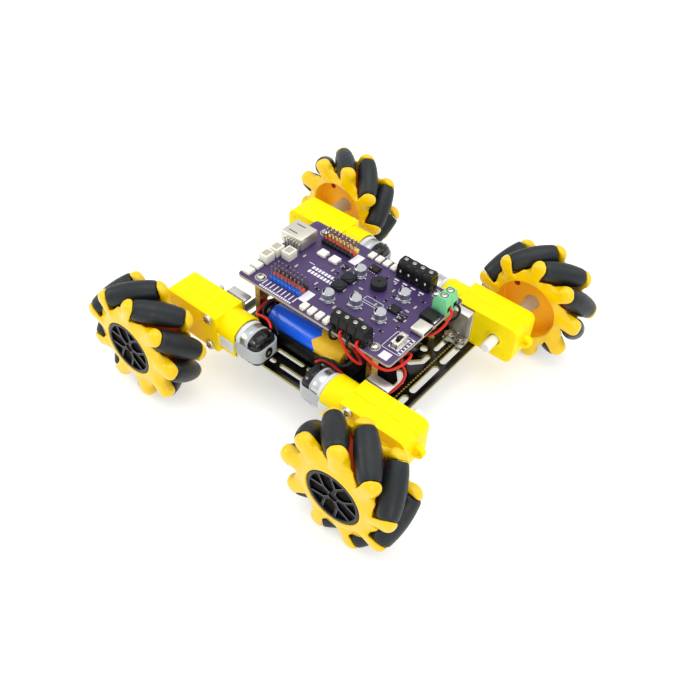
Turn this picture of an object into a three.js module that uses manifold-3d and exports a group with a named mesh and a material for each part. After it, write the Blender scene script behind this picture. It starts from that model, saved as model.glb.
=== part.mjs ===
// Four wheel mecanum robot chassis, in millimetres.
// +X is forward, +Y is left and +Z is up. The origin is on the floor, under the middle of the base plate.

import * as THREE from 'three';
import { mergeVertices } from 'three/addons/utils/BufferGeometryUtils.js';
import Module from 'manifold-3d';

const wasm = await Module();
wasm.setup();

// Driving dimensions
const GAP = 0.3; // clearance between neighbouring pieces
const M3 = { radius: 1.5, hole: 1.8, head: 2.8, headHeight: 2, nutHeight: 2.4 };

const WHEEL = { radius: 31.5, base: 130.8, track: 157.4 };
const ROLLER = { count: 9, radius: 6, length: 24, pin: 1, bore: 1.3, slant: Math.PI / 4 };
const RIM = { barrel: 18.9, halfWidth: 12, recess: 14, floor: -3, coverRadius: 14.8, cover: 11.7 };
const LOBE = { halfWidth: 5.2, faceHalfWidth: 2.8, tip: 2.4, stem: 8.4, thickness: 2.9 };
const SHAFT = { radius: 2.7, bore: 3, stub: 9.1, coupler: 5, couplerLength: 16 };

const MOTOR_TRACK = 93.4; // between the gear motors' middle planes
const GEARBOX = { outer: 11.3, length: 37, height: 22.4, width: 18.8, corner: 4, screwX: -20.6, screwZ: 8.75 };
const SLEEVE = { length: 11.7, radius: 11.2, bore: 10.25, flat: 7.8 };
const CAN = { radius: 9.9, flat: 7.5, length: 20.4, capLength: 5.4, strapWidth: 6, strapThickness: 1 };
const BRACKET = { front: -13.4, back: -26, sheet: 1.2, lip: 6, flange: 7.2, boltY: 14.2, boltX: [-23.2, -16.6] };

const PLATE = { length: 111, width: 94, thickness: 1.6, corner: 3, top: 20 };
const BOARD = { back: -49.5, front: 47.5, width: 61, thickness: 1.6, bottom: 50, corner: 2 };
const STANDOFF = { x: [-38.5, 34.5], y: 25, radius: 3 };
const HOLDER = { back: -35.2, front: 22.8, halfWidth: 31.3, wall: 1.2, base: 1.5, sideTop: 31, endTop: 35 };
const CELL = { radius: 7.1, length: 50, pitch: 15, nub: 2.6 };
const LEAD_RADIUS = 0.8;

const AXLE_Z = WHEEL.radius;
const ROLLER_ORBIT = WHEEL.radius - ROLLER.radius;
const BOARD_TOP = BOARD.bottom + BOARD.thickness;
const PLATE_BOTTOM = PLATE.top - PLATE.thickness;

// Each wheel, with the side of its slant and the turn at which its first roller stands.
const CORNERS = [
  { name: 'rear_right', forward: -1, left: -1, slant: -1, turn: 38 },
  { name: 'front_right', forward: 1, left: -1, slant: 1, turn: 28 },
  { name: 'rear_left', forward: -1, left: 1, slant: 1, turn: 19 },
  { name: 'front_left', forward: 1, left: 1, slant: -1, turn: 26 },
];

const PAINT = {
  hub: { color: 0xf2c61e, roughness: 0.3, metalness: 0 },
  rubber: { color: 0x2c3236, roughness: 0.75, metalness: 0 },
  gearbox: { color: 0xf7e600, roughness: 0.4, metalness: 0 },
  steel: { color: 0xb9bdbf, roughness: 0.3, metalness: 1 },
  plate: { color: 0x14130f, roughness: 0.25, metalness: 0 },
  board: { color: 0x583e7d, roughness: 0.45, metalness: 0 },
  blackPlastic: { color: 0x17181a, roughness: 0.5, metalness: 0 },
  cell: { color: 0x1f52b5, roughness: 0.3, metalness: 0.2 },
  lead: { color: 0xc4261a, roughness: 0.45, metalness: 0 },
};

// Solids

function toManifold(geometry) {
  const bare = geometry.clone();
  bare.deleteAttribute('normal');
  bare.deleteAttribute('uv');
  const merged = mergeVertices(bare, 1e-4);
  const vertProperties = new Float32Array(merged.attributes.position.array);
  const triVerts = new Uint32Array(merged.index.array);
  return new wasm.Manifold(new wasm.Mesh({ numProp: 3, vertProperties, triVerts }));
}

function toGeometry(manifold) {
  const mesh = manifold.getMesh();
  const geometry = new THREE.BufferGeometry();
  geometry.setAttribute('position', new THREE.BufferAttribute(mesh.vertProperties, 3));
  geometry.setIndex(new THREE.BufferAttribute(mesh.triVerts, 1));
  geometry.computeVertexNormals();
  return geometry;
}

const join = (pieces) => pieces.reduce((whole, piece) => whole.add(piece));
const cut = (body, tools) => tools.reduce((rest, tool) => rest.subtract(tool), body);

// A box between two corners.
function block(low, high) {
  const [x, y, z] = high.map((value, i) => value - low[i]);
  const centre = high.map((value, i) => (value + low[i]) / 2);
  return toManifold(new THREE.BoxGeometry(x, y, z).translate(...centre));
}

// A round bar along one axis between two positions; the centre gives the other two coordinates in order.
function bar(axis, radius, from, to, centre = [0, 0], sides = 16) {
  const geometry = new THREE.CylinderGeometry(radius, radius, Math.abs(to - from), sides);
  geometry.rotateY(Math.PI / sides);
  const middle = (from + to) / 2;
  if (axis === 'x') geometry.rotateZ(Math.PI / 2).translate(middle, centre[0], centre[1]);
  if (axis === 'y') geometry.translate(centre[0], middle, centre[1]);
  if (axis === 'z') geometry.rotateX(Math.PI / 2).translate(centre[0], centre[1], middle);
  return toManifold(geometry);
}

// A closed profile of [radius, y] points, turned about Y.
function turned(profile, segments) {
  const points = profile.map(([radius, y]) => new THREE.Vector2(radius, y));
  return new THREE.LatheGeometry(points, segments);
}

function slab(shape, depth, curveSegments) {
  return new THREE.ExtrudeGeometry(shape, { depth, curveSegments, bevelEnabled: false });
}

function roundedRectangle(x0, y0, x1, y1, radius) {
  const shape = new THREE.Shape();
  shape.moveTo(x0 + radius, y0);
  shape.lineTo(x1 - radius, y0).absarc(x1 - radius, y0 + radius, radius, -Math.PI / 2, 0);
  shape.lineTo(x1, y1 - radius).absarc(x1 - radius, y1 - radius, radius, 0, Math.PI / 2);
  shape.lineTo(x0 + radius, y1).absarc(x0 + radius, y1 - radius, radius, Math.PI / 2, Math.PI);
  shape.lineTo(x0, y0 + radius).absarc(x0 + radius, y0 + radius, radius, Math.PI, 1.5 * Math.PI);
  return shape;
}

function paintedMesh(name, geometry, paint) {
  const mesh = new THREE.Mesh(geometry, new THREE.MeshStandardMaterial(paint));
  mesh.name = name;
  return mesh;
}

// Mecanum wheels. In a wheel's own frame Y is the axle and +Y points away from the chassis.

// The barrel profile keeps every roller's contact line on the wheel's outer circle.
function rollerRadiusAt(along) {
  return WHEEL.radius - Math.hypot(ROLLER_ORBIT, along * Math.sin(ROLLER.slant));
}

function rollerGeometry() {
  const half = ROLLER.length / 2;
  const outside = [-1, -1 / 3, 1 / 3, 1].map((part) => [rollerRadiusAt(part * half), part * half]);
  const profile = [[ROLLER.bore, -half], ...outside, [ROLLER.bore, half], [ROLLER.bore, -half]];
  return toGeometry(toManifold(turned(profile, 8)));
}

// The tab that holds one end of a roller's pin, square to the pin, with a stem towards the barrel.
// It is narrower towards the wheel's face.
function lobe(side, slant) {
  const { halfWidth, faceHalfWidth, tip, stem, thickness } = LOBE;
  const corners = [[-stem, -halfWidth], [0, -halfWidth], [tip, -halfWidth / 2], [tip, faceHalfWidth / 2],
    [0, faceHalfWidth], [-stem, faceHalfWidth]];
  const outline = new THREE.Shape();
  outline.setFromPoints(corners.map(([x, y]) => new THREE.Vector2(x, -side * slant * y)));
  const start = ROLLER.length / 2 + GAP;
  return slab(outline, thickness, 1).rotateX(Math.PI / 2).translate(0, side > 0 ? start + thickness : -start, 0);
}

// Places a piece made round a roller's axis at one of the stations round the wheel.
function stationMatrix(index, slant) {
  const angle = (index * 2 * Math.PI) / ROLLER.count;
  const place = new THREE.Matrix4().makeRotationY(-angle);
  place.multiply(new THREE.Matrix4().makeTranslation(ROLLER_ORBIT, 0, 0));
  return place.multiply(new THREE.Matrix4().makeRotationX(slant * ROLLER.slant));
}

// One wheel's turning core: the barrel with its lobes and roller pins, the hub cover, coupler and shaft.
function rimGeometry(slant) {
  const { barrel, halfWidth, recess, floor, coverRadius, cover } = RIM;
  const profile = [[0, floor], [recess, floor], [recess, -halfWidth], [barrel, -halfWidth], [barrel, halfWidth],
    [coverRadius, halfWidth], [coverRadius, cover], [0, cover]];
  const pinHalf = ROLLER.length / 2 + LOBE.thickness / 2;
  const pieces = [toManifold(turned(profile, 2 * ROLLER.count))];
  for (let i = 0; i < ROLLER.count; i += 1) {
    const place = stationMatrix(i, slant);
    const pin = new THREE.CylinderGeometry(ROLLER.pin, ROLLER.pin, 2 * pinHalf, 6);
    for (const piece of [lobe(1, slant), lobe(-1, slant), pin]) pieces.push(toManifold(piece.applyMatrix4(place)));
  }
  const stubEnd = -(WHEEL.track - MOTOR_TRACK) / 2 - GEARBOX.width / 2 - SHAFT.stub;
  return toGeometry(join([
    ...pieces,
    bar('y', SHAFT.coupler, floor - SHAFT.couplerLength, floor + 1, [0, 0], 10),
    bar('y', SHAFT.radius, stubEnd, floor - 1, [0, 0], 12),
  ]));
}

function wheel(corner, rim, roller) {
  const hub = new THREE.Group();
  hub.position.set((corner.forward * WHEEL.base) / 2, (corner.left * WHEEL.track) / 2, AXLE_Z);
  hub.rotation.z = corner.left > 0 ? 0 : Math.PI;
  const spin = new THREE.Group();
  spin.rotation.y = -THREE.MathUtils.degToRad(corner.turn);
  spin.add(paintedMesh(`wheel_hub_${corner.name}`, rim, PAINT.hub));
  for (let i = 0; i < ROLLER.count; i += 1) {
    const mesh = paintedMesh(`roller_${corner.name}_${i + 1}`, roller, PAINT.rubber);
    mesh.applyMatrix4(stationMatrix(i, corner.slant));
    spin.add(mesh);
  }
  hub.add(spin);
  return hub;
}

// Gear motors. In a gear motor's own frame the output shaft runs along Y through the origin
// and the motor lies towards -X.

// The outline of the can or sleeve: round above and below, flat at both sides.
function flattenedBar(radius, flat, from, to) {
  return bar('x', radius, from, to, [0, 0], 16).intersect(block([from, -flat, -radius], [to, flat, radius]));
}

function gearboxGeometry() {
  const { outer, length, height, width, corner } = GEARBOX;
  const back = outer - length;
  const side = new THREE.Shape();
  side.moveTo(back, -height / 2);
  side.lineTo(outer - corner, -height / 2).absarc(outer - corner, corner - height / 2, corner, -Math.PI / 2, 0);
  side.lineTo(outer, height / 2 - corner).absarc(outer - corner, height / 2 - corner, corner, 0, Math.PI / 2);
  side.lineTo(back, height / 2);
  const housing = toManifold(slab(side, width, 3).rotateX(Math.PI / 2).translate(0, width / 2, 0));
  const sleeveEnd = back - SLEEVE.length;
  const sleeve = flattenedBar(SLEEVE.radius, width / 2, sleeveEnd, back + 1);
  const tab = join([block([outer - 1, -1.5, -3.5], [outer + 2, 1.5, 3.5]), bar('y', 3.5, -1.5, 1.5, [outer + 1.5, 0], 10)]);
  const holes = [-1, 1].map((sign) => bar('y', M3.hole, -width, width, [GEARBOX.screwX, sign * GEARBOX.screwZ], 8));
  return toGeometry(cut(join([housing, sleeve, tab]), [
    flattenedBar(SLEEVE.bore, SLEEVE.flat, sleeveEnd - 1, back),
    bar('y', SHAFT.bore, -width, width, [0, 0], 12),
    bar('y', 1.5, -2, 2, [outer + 2, 0], 8),
    ...holes,
  ]));
}

// The motor: steel can, black end cap with its bearing boss, and the strap that clips it to the gearbox.
function motorGeometry() {
  const start = GEARBOX.outer - GEARBOX.length - GAP;
  const canEnd = start - CAN.length;
  const capEnd = canEnd - CAN.capLength;
  const half = CAN.strapWidth / 2;
  const strapStart = GEARBOX.outer - GEARBOX.length - SLEEVE.length - GAP;
  const outside = CAN.flat + CAN.strapThickness;
  const strapEnd = capEnd - CAN.strapThickness;
  return toGeometry(join([
    flattenedBar(CAN.radius, CAN.flat, canEnd, start),
    flattenedBar(CAN.radius - 0.5, CAN.flat, capEnd, canEnd + 0.5),
    bar('x', 3, capEnd - 1.6, capEnd + 0.5, [0, 0], 10),
    block([strapEnd, CAN.flat - 0.5, -half], [strapStart, outside, half]),
    block([strapEnd, -outside, -half], [strapStart, 0.5 - CAN.flat, half]),
    block([strapEnd, -outside, -half], [capEnd + 0.2, outside, half]),
  ]));
}

// A bolt through the plate, with its head underneath; top is where the shank ends.
function plateBolt(x, y, top, headZ) {
  return join([
    bar('z', M3.radius, headZ - 0.5, top, [x, y], 8),
    bar('z', M3.head, headZ - M3.headHeight, headZ, [x, y], 8),
  ]);
}

// The sheet metal bracket with the two screws through the gearbox and the two bolts through the plate.
// inner is the side of the gearbox, in its own frame, that faces the chassis.
function bracketGeometry(inner) {
  const face = GEARBOX.width / 2 + GAP;
  const foot = PLATE.top + GAP - AXLE_Z;
  const top = GEARBOX.height / 2 - 0.4;
  const { front, back, sheet, lip, flange } = BRACKET;
  const across = (from, to) => (inner > 0 ? [from, to] : [-to, -from]);
  const sheetBlock = ([y0, y1], z0, z1) => block([back, y0, z0], [front, y1, z1]);
  const body = [
    sheetBlock(across(face, face + sheet), foot, top),
    sheetBlock(across(face, face + flange), foot, foot + sheet),
    sheetBlock(across(face, face + lip), top - sheet, top),
  ];
  for (const sign of [-1, 1]) {
    const centre = [GEARBOX.screwX, sign * GEARBOX.screwZ];
    const threadEnd = face + sheet + (sign > 0 ? 3.4 : 0.4);
    body.push(bar('y', M3.radius, ...across(-face, threadEnd), centre, 8));
    body.push(bar('y', M3.head, ...across(-face - M3.headHeight, -face), centre, 8));
  }
  const headZ = PLATE_BOTTOM - GAP - AXLE_Z;
  for (const x of BRACKET.boltX) {
    const nutTop = foot + sheet + M3.nutHeight;
    body.push(plateBolt(x, inner * BRACKET.boltY, nutTop + 1, headZ));
    body.push(bar('z', M3.head, foot + 0.5, nutTop, [x, inner * BRACKET.boltY], 6));
  }
  return toGeometry(join(body));
}

function gearMotor(corner, gearbox, motor, brackets) {
  const group = new THREE.Group();
  group.position.set((corner.forward * WHEEL.base) / 2, (corner.left * MOTOR_TRACK) / 2, AXLE_Z);
  group.rotation.z = corner.forward > 0 ? 0 : Math.PI;
  const inner = -corner.left * corner.forward;
  group.add(
    paintedMesh(`gearbox_${corner.name}`, gearbox, PAINT.gearbox),
    paintedMesh(`motor_${corner.name}`, motor, PAINT.steel),
    paintedMesh(`motor_bracket_${corner.name}`, brackets[inner], PAINT.steel),
  );
  return group;
}

// Base plate

// A slot with round ends between two points.
function slot(from, to, width) {
  const along = Math.atan2(to[1] - from[1], to[0] - from[0]);
  const radius = width / 2;
  const hole = new THREE.Path();
  hole.absarc(to[0], to[1], radius, along - Math.PI / 2, along + Math.PI / 2);
  hole.absarc(from[0], from[1], radius, along + Math.PI / 2, along + 1.5 * Math.PI);
  hole.closePath();
  return hole;
}

// A slot that runs across the plate and then turns towards its middle, in one of the four quarters.
function bentSlot(forward, left) {
  const corners = [[40.6, 14.6], [40.6, 10.2], [36.4, 5.6], [38.4, 3.6], [43.4, 9.2], [43.4, 14.6]];
  const hole = new THREE.Path();
  hole.setFromPoints(corners.map(([x, y]) => new THREE.Vector2(forward * x, left * y)));
  hole.closePath();
  return hole;
}

function basePlateGeometry() {
  const { length, width, corner, thickness, top } = PLATE;
  const shape = roundedRectangle(-length / 2, -width / 2, length / 2, width / 2, corner);
  const EDGE = { x: 49.9, width: 3.6 };
  const SECOND = { x: 42, width: 2.8 };
  const SIDE = { outer: 41.4, inner: 34, width: 2.4 };
  for (const sign of [-1, 1]) {
    shape.holes.push(slot([sign * EDGE.x, -10], [sign * EDGE.x, 10], EDGE.width));
    shape.holes.push(slot([-9.3, sign * SIDE.outer], [9.3, sign * SIDE.outer], SIDE.width));
    for (const other of [-1, 1]) {
      shape.holes.push(slot([sign * EDGE.x, other * 16.3], [sign * EDGE.x, other * 26], EDGE.width));
      shape.holes.push(slot([sign * SECOND.x, other * 20.5], [sign * SECOND.x, other * 26], SECOND.width));
      shape.holes.push(slot([other * 1.9, sign * SIDE.inner], [other * 18, sign * SIDE.inner], SIDE.width));
      shape.holes.push(slot([other * 14.5, sign * SIDE.outer], [other * 30, sign * SIDE.outer], SIDE.width));
      shape.holes.push(bentSlot(sign, other));
    }
  }
  const sheet = toManifold(slab(shape, thickness, 2).translate(0, 0, top - thickness));
  const holes = [];
  const drill = (x, y, radius = M3.hole) => {
    holes.push(bar('z', radius, top - thickness - 1, top + 1, [x, y], 8));
  };
  for (const x of [-37, 37]) [-17.5, 17.5].forEach((y) => drill(x, y, 2.1));
  for (const x of STANDOFF.x) [-1, 1].forEach((sign) => drill(x, sign * STANDOFF.y));
  for (const corner of CORNERS) {
    for (const x of BRACKET.boltX) {
      drill(corner.forward * (WHEEL.base / 2 + x), corner.left * (MOTOR_TRACK / 2 - BRACKET.boltY));
    }
  }
  return toGeometry(cut(sheet, holes));
}

// Circuit board

const HEADERS = { x: -24.4, pitch: 2.54, columns: 8, rows: [-19.4, 20.5], housing: 2.54, pinTop: 8.6, pinWidth: 0.7 };
const TERMINAL = { x: 21.35, pitch: 5.08, ways: 4, depth: 8, height: 10 };
const CAPACITORS = [[-2.5, 10], [25, 10.5], [10, -9], [25, -9], [-2.5, -15]];

// A component that stands on the board: its middle, footprint and height.
function component(x, y, length, width, height) {
  return block([x - length / 2, y - width / 2, BOARD_TOP - 0.2], [x + length / 2, y + width / 2, BOARD_TOP + height]);
}

function pinHeader(rowY) {
  const { x, pitch, columns, housing, pinTop, pinWidth } = HEADERS;
  const pieces = [component(x, rowY, columns * pitch, 3 * pitch, housing)];
  for (let column = 0; column < columns; column += 1) {
    for (let row = -1; row <= 1; row += 1) {
      const pinX = x + (column - (columns - 1) / 2) * pitch;
      pieces.push(component(pinX, rowY + row * pitch, pinWidth, pinWidth, pinTop));
    }
  }
  return pieces;
}

// A screw terminal block at one long edge, with a wire entry for each way in its outer face.
function screwTerminal(side) {
  const outerY = side * (BOARD.width / 2 - 0.3);
  const middleY = outerY - (side * TERMINAL.depth) / 2;
  const body = component(TERMINAL.x, middleY, TERMINAL.ways * TERMINAL.pitch, TERMINAL.depth, TERMINAL.height);
  return cut(body, terminalWays().map((x) => {
    const low = [x - 1.4, Math.min(outerY - side * 3, outerY + side), BOARD_TOP + 1.8];
    const high = [x + 1.4, Math.max(outerY - side * 3, outerY + side), BOARD_TOP + 5];
    return block(low, high);
  }));
}

function terminalWays() {
  return [0, 1, 2, 3].map((i) => TERMINAL.x + (i - 1.5) * TERMINAL.pitch);
}

const POWER_TERMINAL = { x: 43.3, y: 19.4, depth: 8.4, pitch: 5.08, height: 10 };
const SWITCH = { x: 41.8, y: -15.5, length: 9, width: 4, height: 3.4, slotLength: 4.6, slotWidth: 1.9, slotFloor: 2 };
const KNOB = { width: 1.3, length: 2, top: 5.2, travel: 2 };
const USB = { back: -51, front: -37, y: 10.2, width: 13.1, height: 7.2, wall: 0.6, tongue: 1.2 };

function powerTerminal() {
  const { x, y, depth, pitch, height } = POWER_TERMINAL;
  const body = component(x, y, depth, 2 * pitch, height);
  const front = x + depth / 2;
  return cut(body, [-1, 1].map((sign) => {
    const middle = y + (sign * pitch) / 2;
    return block([front - 3, middle - 1.4, BOARD_TOP + 1.8], [front + 1, middle + 1.4, BOARD_TOP + 5]);
  }));
}

function switchBody() {
  const { x, y, length, width, height, slotLength, slotWidth, slotFloor } = SWITCH;
  const floor = BOARD_TOP + slotFloor;
  const low = [x - slotWidth / 2, y - slotLength / 2, floor];
  const high = [x + slotWidth / 2, y + slotLength / 2, floor + height];
  return component(x, y, width, length, height).subtract(block(low, high));
}

function standoff(x, y) {
  return join([
    bar('z', STANDOFF.radius, PLATE.top + GAP, BOARD.bottom + 0.3, [x, y], 6),
    bar('z', M3.head, BOARD_TOP - 0.2, BOARD_TOP + M3.headHeight, [x, y], 8),
    plateBolt(x, y, PLATE.top + 3, PLATE_BOTTOM - GAP),
  ]);
}

function circuitBoardGeometry() {
  const half = BOARD.width / 2;
  const outline = roundedRectangle(BOARD.back, -half, BOARD.front, half, BOARD.corner);
  const pieces = [toManifold(slab(outline, BOARD.thickness, 3).translate(0, 0, BOARD.bottom))];
  for (const rowY of HEADERS.rows) pieces.push(...pinHeader(rowY));
  pieces.push(screwTerminal(-1), screwTerminal(1), powerTerminal(), switchBody());
  for (const [x, y] of CAPACITORS) pieces.push(bar('z', 3.15, BOARD_TOP - 0.2, BOARD_TOP + 5.7, [x, y], 8));
  pieces.push(bar('z', 4.3, BOARD_TOP - 0.2, BOARD_TOP + 4, [10, 9.5], 10)); // buzzer
  for (const y of [-4.2, 3.6]) pieces.push(component(-4.6, y, 7, 6.8, 3)); // power inductors
  pieces.push(component(0.3, 19, 6, 6, 1.2), component(26.5, 1, 6, 6, 1.2), component(42, 8.6, 7.4, 7.6, 3));
  pieces.push(component(44.6, -1.4, 7.4, 9, 3.2)); // USB-C socket
  for (const x of [-27.4, -19.5]) pieces.push(component(x, 10.3, 5, 5, 1.6)); // status lights
  for (const side of [-1, 1]) {
    for (let i = 0; i < 4; i += 1) pieces.push(component(-7.4 + i * 4.9, side * 26.6, 3.8, 5, 2)); // test buttons
  }
  for (const y of [-26, -20]) pieces.push(component(-46, y, 5.4, 5, 3));
  for (const y of [-13, -5.5]) pieces.push(component(-45.6, y, 5.6, 6.4, 6)); // sensor sockets
  pieces.push(component(-38.6, -3.6, 5.6, 6.4, 6), component(41.8, -26.2, 5, 5, 1.6));
  for (const x of STANDOFF.x) [-1, 1].forEach((sign) => pieces.push(standoff(x, sign * STANDOFF.y)));
  return toGeometry(join(pieces));
}

// The USB socket's folded shell, open towards the back, with its tongue along the top.
function usbSocketGeometry() {
  const { back, front, y, width, height, wall, tongue } = USB;
  const bottom = BOARD_TOP + GAP;
  const top = bottom + height;
  const shell = block([back, y - width / 2, bottom], [front, y + width / 2, top]);
  const mouth = block([back - 1, y - width / 2 + wall, bottom + wall], [front - wall, y + width / 2 - wall, top - wall]);
  const tongueBlock = block([back + 2, y - width / 2 + 1.4, top - wall - tongue],
    [front - wall / 2, y + width / 2 - 1.4, top - wall / 2]);
  return toGeometry(shell.subtract(mouth).add(tongueBlock));
}

// The power switch's knob stands at the off end of its slot.
function switchKnobGeometry() {
  const offY = SWITCH.y - SWITCH.slotLength / 2 + GAP;
  const low = [SWITCH.x - KNOB.width / 2, offY, BOARD_TOP + SWITCH.slotFloor + GAP];
  return toGeometry(block(low, [SWITCH.x + KNOB.width / 2, offY + KNOB.length, BOARD_TOP + KNOB.top]));
}

// Battery

function batteryHolderGeometry() {
  const { back, front, halfWidth, wall, base, sideTop, endTop } = HOLDER;
  const bottom = PLATE.top + GAP;
  const pieces = [block([back, -halfWidth, bottom], [front, halfWidth, bottom + base])];
  for (const sign of [-1, 1]) {
    const [low, high] = sign > 0 ? [halfWidth - wall, halfWidth] : [-halfWidth, wall - halfWidth];
    pieces.push(block([back, low, bottom], [front, high, sideTop]));
  }
  pieces.push(block([back, -halfWidth, bottom], [back + wall, halfWidth, endTop]));
  pieces.push(block([front - wall, -halfWidth, bottom], [front, halfWidth, endTop]));
  for (const rib of [-1, 0, 1]) {
    const y = rib * CELL.pitch;
    pieces.push(block([back, y - 0.4, bottom], [front, y + 0.4, bottom + base + 2.2]));
  }
  return toGeometry(join(pieces));
}

// Four AA cells side by side, joined in series by the holder's contact strips.
function cellsGeometry() {
  const middle = (HOLDER.back + HOLDER.front) / 2;
  const z = PLATE.top + GAP + HOLDER.base + GAP + CELL.radius;
  const ends = [middle - CELL.length / 2, middle + CELL.length / 2];
  const cells = [-1.5, -0.5, 0.5, 1.5].map((i) => bar('x', CELL.radius, ...ends, [i * CELL.pitch, z], 16));
  const strip = (end, from, to) => {
    const x = end < 0 ? [ends[0] - 0.8, ends[0] + 0.2] : [ends[1] - 0.2, ends[1] + 0.8];
    return block([x[0], from * CELL.pitch - CELL.nub, z - 2.6], [x[1], to * CELL.pitch + CELL.nub, z + 2.6]);
  };
  return toGeometry(join([...cells, strip(-1, -1.5, -0.5), strip(1, -0.5, 0.5), strip(-1, 0.5, 1.5)]));
}

// Leads: each is a plain tube along its route.
function tube(points) {
  const route = new THREE.CatmullRomCurve3(points.map((point) => new THREE.Vector3(...point)), false, 'centripetal');
  const section = new THREE.Shape().absarc(0, 0, LEAD_RADIUS, 0, 2 * Math.PI);
  const steps = Math.ceil(route.getLength() / (6 * LEAD_RADIUS));
  const options = { steps, extrudePath: route, curveSegments: 4, bevelEnabled: false };
  return toManifold(new THREE.ExtrudeGeometry(section, options));
}

// The two pairs of leads of the right hand motors, from the terminal block to the motors' end caps.
const MOTOR_LEADS = [
  [[13.7, -31.4, 55], [13.8, -32.6, 53.4], [14, -32.8, 50.6], [14.2, -31, 47.6], [13.2, -26.4, 44.6], [8, -22.2, 42.8],
    [2, -20.9, 41.6], [-16, -20.6, 41.8], [-28, -22, 41.4], [-31.2, -26.4, 40.6], [-31, -31, 38.6], [-28.4, -33.6, 37.6],
    [-23, -34.9, 38.6], [-17, -36.8, 38.4], [-14.6, -38.1, 36.6]],
  [[18.8, -31.4, 55], [19.8, -32.6, 54.2], [21.8, -33.4, 52.4], [24, -34, 50.4], [27, -34.4, 47.8], [30.4, -33.6, 45.4],
    [32, -31.2, 43], [30, -28.6, 41.2], [25, -25.4, 40.6], [16, -21.6, 40.3], [2, -20.6, 40.2], [-16, -20.4, 39.8],
    [-27, -21.2, 39.4], [-33.2, -24.6, 38.9], [-34.1, -30.4, 37], [-32.2, -34.8, 37.2], [-27, -36.4, 40], [-21, -38, 41.4],
    [-17.4, -39.9, 40.4]],
  [[23.9, -31.4, 55], [24.2, -32.4, 53.2], [24.3, -32.6, 50.4], [25.6, -30.8, 47.4], [25.6, -29.6, 44.6], [26.8, -32, 40.8],
    [24.4, -34.4, 38.6], [19, -35, 38], [13, -35.8, 37.2], [8.8, -37.4, 36.4]],
  [[28.9, -31.4, 55], [29.8, -32.6, 53.9], [32.2, -33, 52.6], [36, -33, 51.2], [40, -32.9, 50], [43.6, -32.2, 49.2],
    [46.8, -30.4, 48.6], [49, -26, 48.4], [49.8, -20.6, 48.4], [49.3, -16, 48.2], [47.4, -13.8, 47.2], [45.4, -14.6, 46.2],
    [45.2, -17.4, 45], [47.2, -19, 43.4], [49.8, -19.8, 41], [50.6, -21.4, 38.2], [49.8, -24.6, 35], [48, -29, 32.6],
    [44, -32.6, 31], [38, -33.2, 30], [30, -34.2, 31], [21, -34.9, 34.4], [13, -35.7, 35.8], [9.4, -37.4, 33.4]],
];

// The pair from the power terminal to the battery holder.
const BATTERY_LEADS = [
  [[48.4, 21.9, 55], [50, 21.9, 54.4], [51, 21.4, 52.4], [50.8, 20.6, 49.6], [48.6, 19, 46], [44, 16.4, 39.4],
    [36, 8, 34.6], [31.5, 4.5, 32.2], [28, 4.4, 30.8], [25.4, 6.6, 29.8], [23.6, 8, 29.4]],
  [[48.4, 16.9, 55], [49.6, 16.2, 54], [50, 13.4, 52.2], [49.8, 11.2, 50], [49, 8.4, 48], [47.6, 5.4, 46.6],
    [44, 3.4, 44.4], [37, 2.9, 38.4], [31.5, 3.4, 32.6], [28, 3.2, 30.8], [23.6, 4, 29.4]],
];

function leadsGeometry(routes) {
  return toGeometry(join(routes.map((route) => tube(route))));
}

// Assembly

const chassis = new THREE.Group();
const rims = { [-1]: rimGeometry(-1), 1: rimGeometry(1) };
const roller = rollerGeometry();
const gearbox = gearboxGeometry();
const motor = motorGeometry();
const brackets = { [-1]: bracketGeometry(-1), 1: bracketGeometry(1) };
for (const corner of CORNERS) {
  chassis.add(wheel(corner, rims[corner.slant], roller), gearMotor(corner, gearbox, motor, brackets));
}
chassis.add(
  paintedMesh('base_plate', basePlateGeometry(), PAINT.plate),
  paintedMesh('circuit_board', circuitBoardGeometry(), PAINT.board),
  paintedMesh('usb_socket', usbSocketGeometry(), PAINT.steel),
  paintedMesh('power_switch_knob', switchKnobGeometry(), PAINT.blackPlastic),
  paintedMesh('battery_holder', batteryHolderGeometry(), PAINT.blackPlastic),
  paintedMesh('battery_cells', cellsGeometry(), PAINT.cell),
  paintedMesh('right_motor_leads', leadsGeometry(MOTOR_LEADS), PAINT.lead),
  paintedMesh('battery_leads', leadsGeometry(BATTERY_LEADS), PAINT.lead),
);

export default chassis;
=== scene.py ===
"""Four wheel mecanum robot chassis: the looks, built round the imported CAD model.

Shapes are in millimetres, in the frame of the CAD model, and turned to metres when each piece is made.
"""
from math import atan2, copysign, cos, degrees, hypot, pi, radians, sin, sqrt

import bmesh
import bpy
import numpy as np
from mathutils import Matrix, Vector


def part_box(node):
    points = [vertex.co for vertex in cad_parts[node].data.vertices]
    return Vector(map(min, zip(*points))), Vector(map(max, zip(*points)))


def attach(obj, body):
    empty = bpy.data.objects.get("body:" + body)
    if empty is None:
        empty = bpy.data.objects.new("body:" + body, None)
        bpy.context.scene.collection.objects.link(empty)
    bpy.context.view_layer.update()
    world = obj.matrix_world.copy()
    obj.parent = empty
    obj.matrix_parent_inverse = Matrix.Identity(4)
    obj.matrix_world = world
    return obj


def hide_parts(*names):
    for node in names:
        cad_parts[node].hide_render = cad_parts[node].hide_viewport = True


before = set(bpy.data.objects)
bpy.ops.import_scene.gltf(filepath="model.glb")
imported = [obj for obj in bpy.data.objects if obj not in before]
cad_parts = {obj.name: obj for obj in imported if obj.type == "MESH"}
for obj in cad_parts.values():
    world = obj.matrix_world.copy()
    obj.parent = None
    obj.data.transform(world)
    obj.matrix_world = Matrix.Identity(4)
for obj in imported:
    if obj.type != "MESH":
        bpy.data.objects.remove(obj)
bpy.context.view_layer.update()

MM = 0.001

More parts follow.
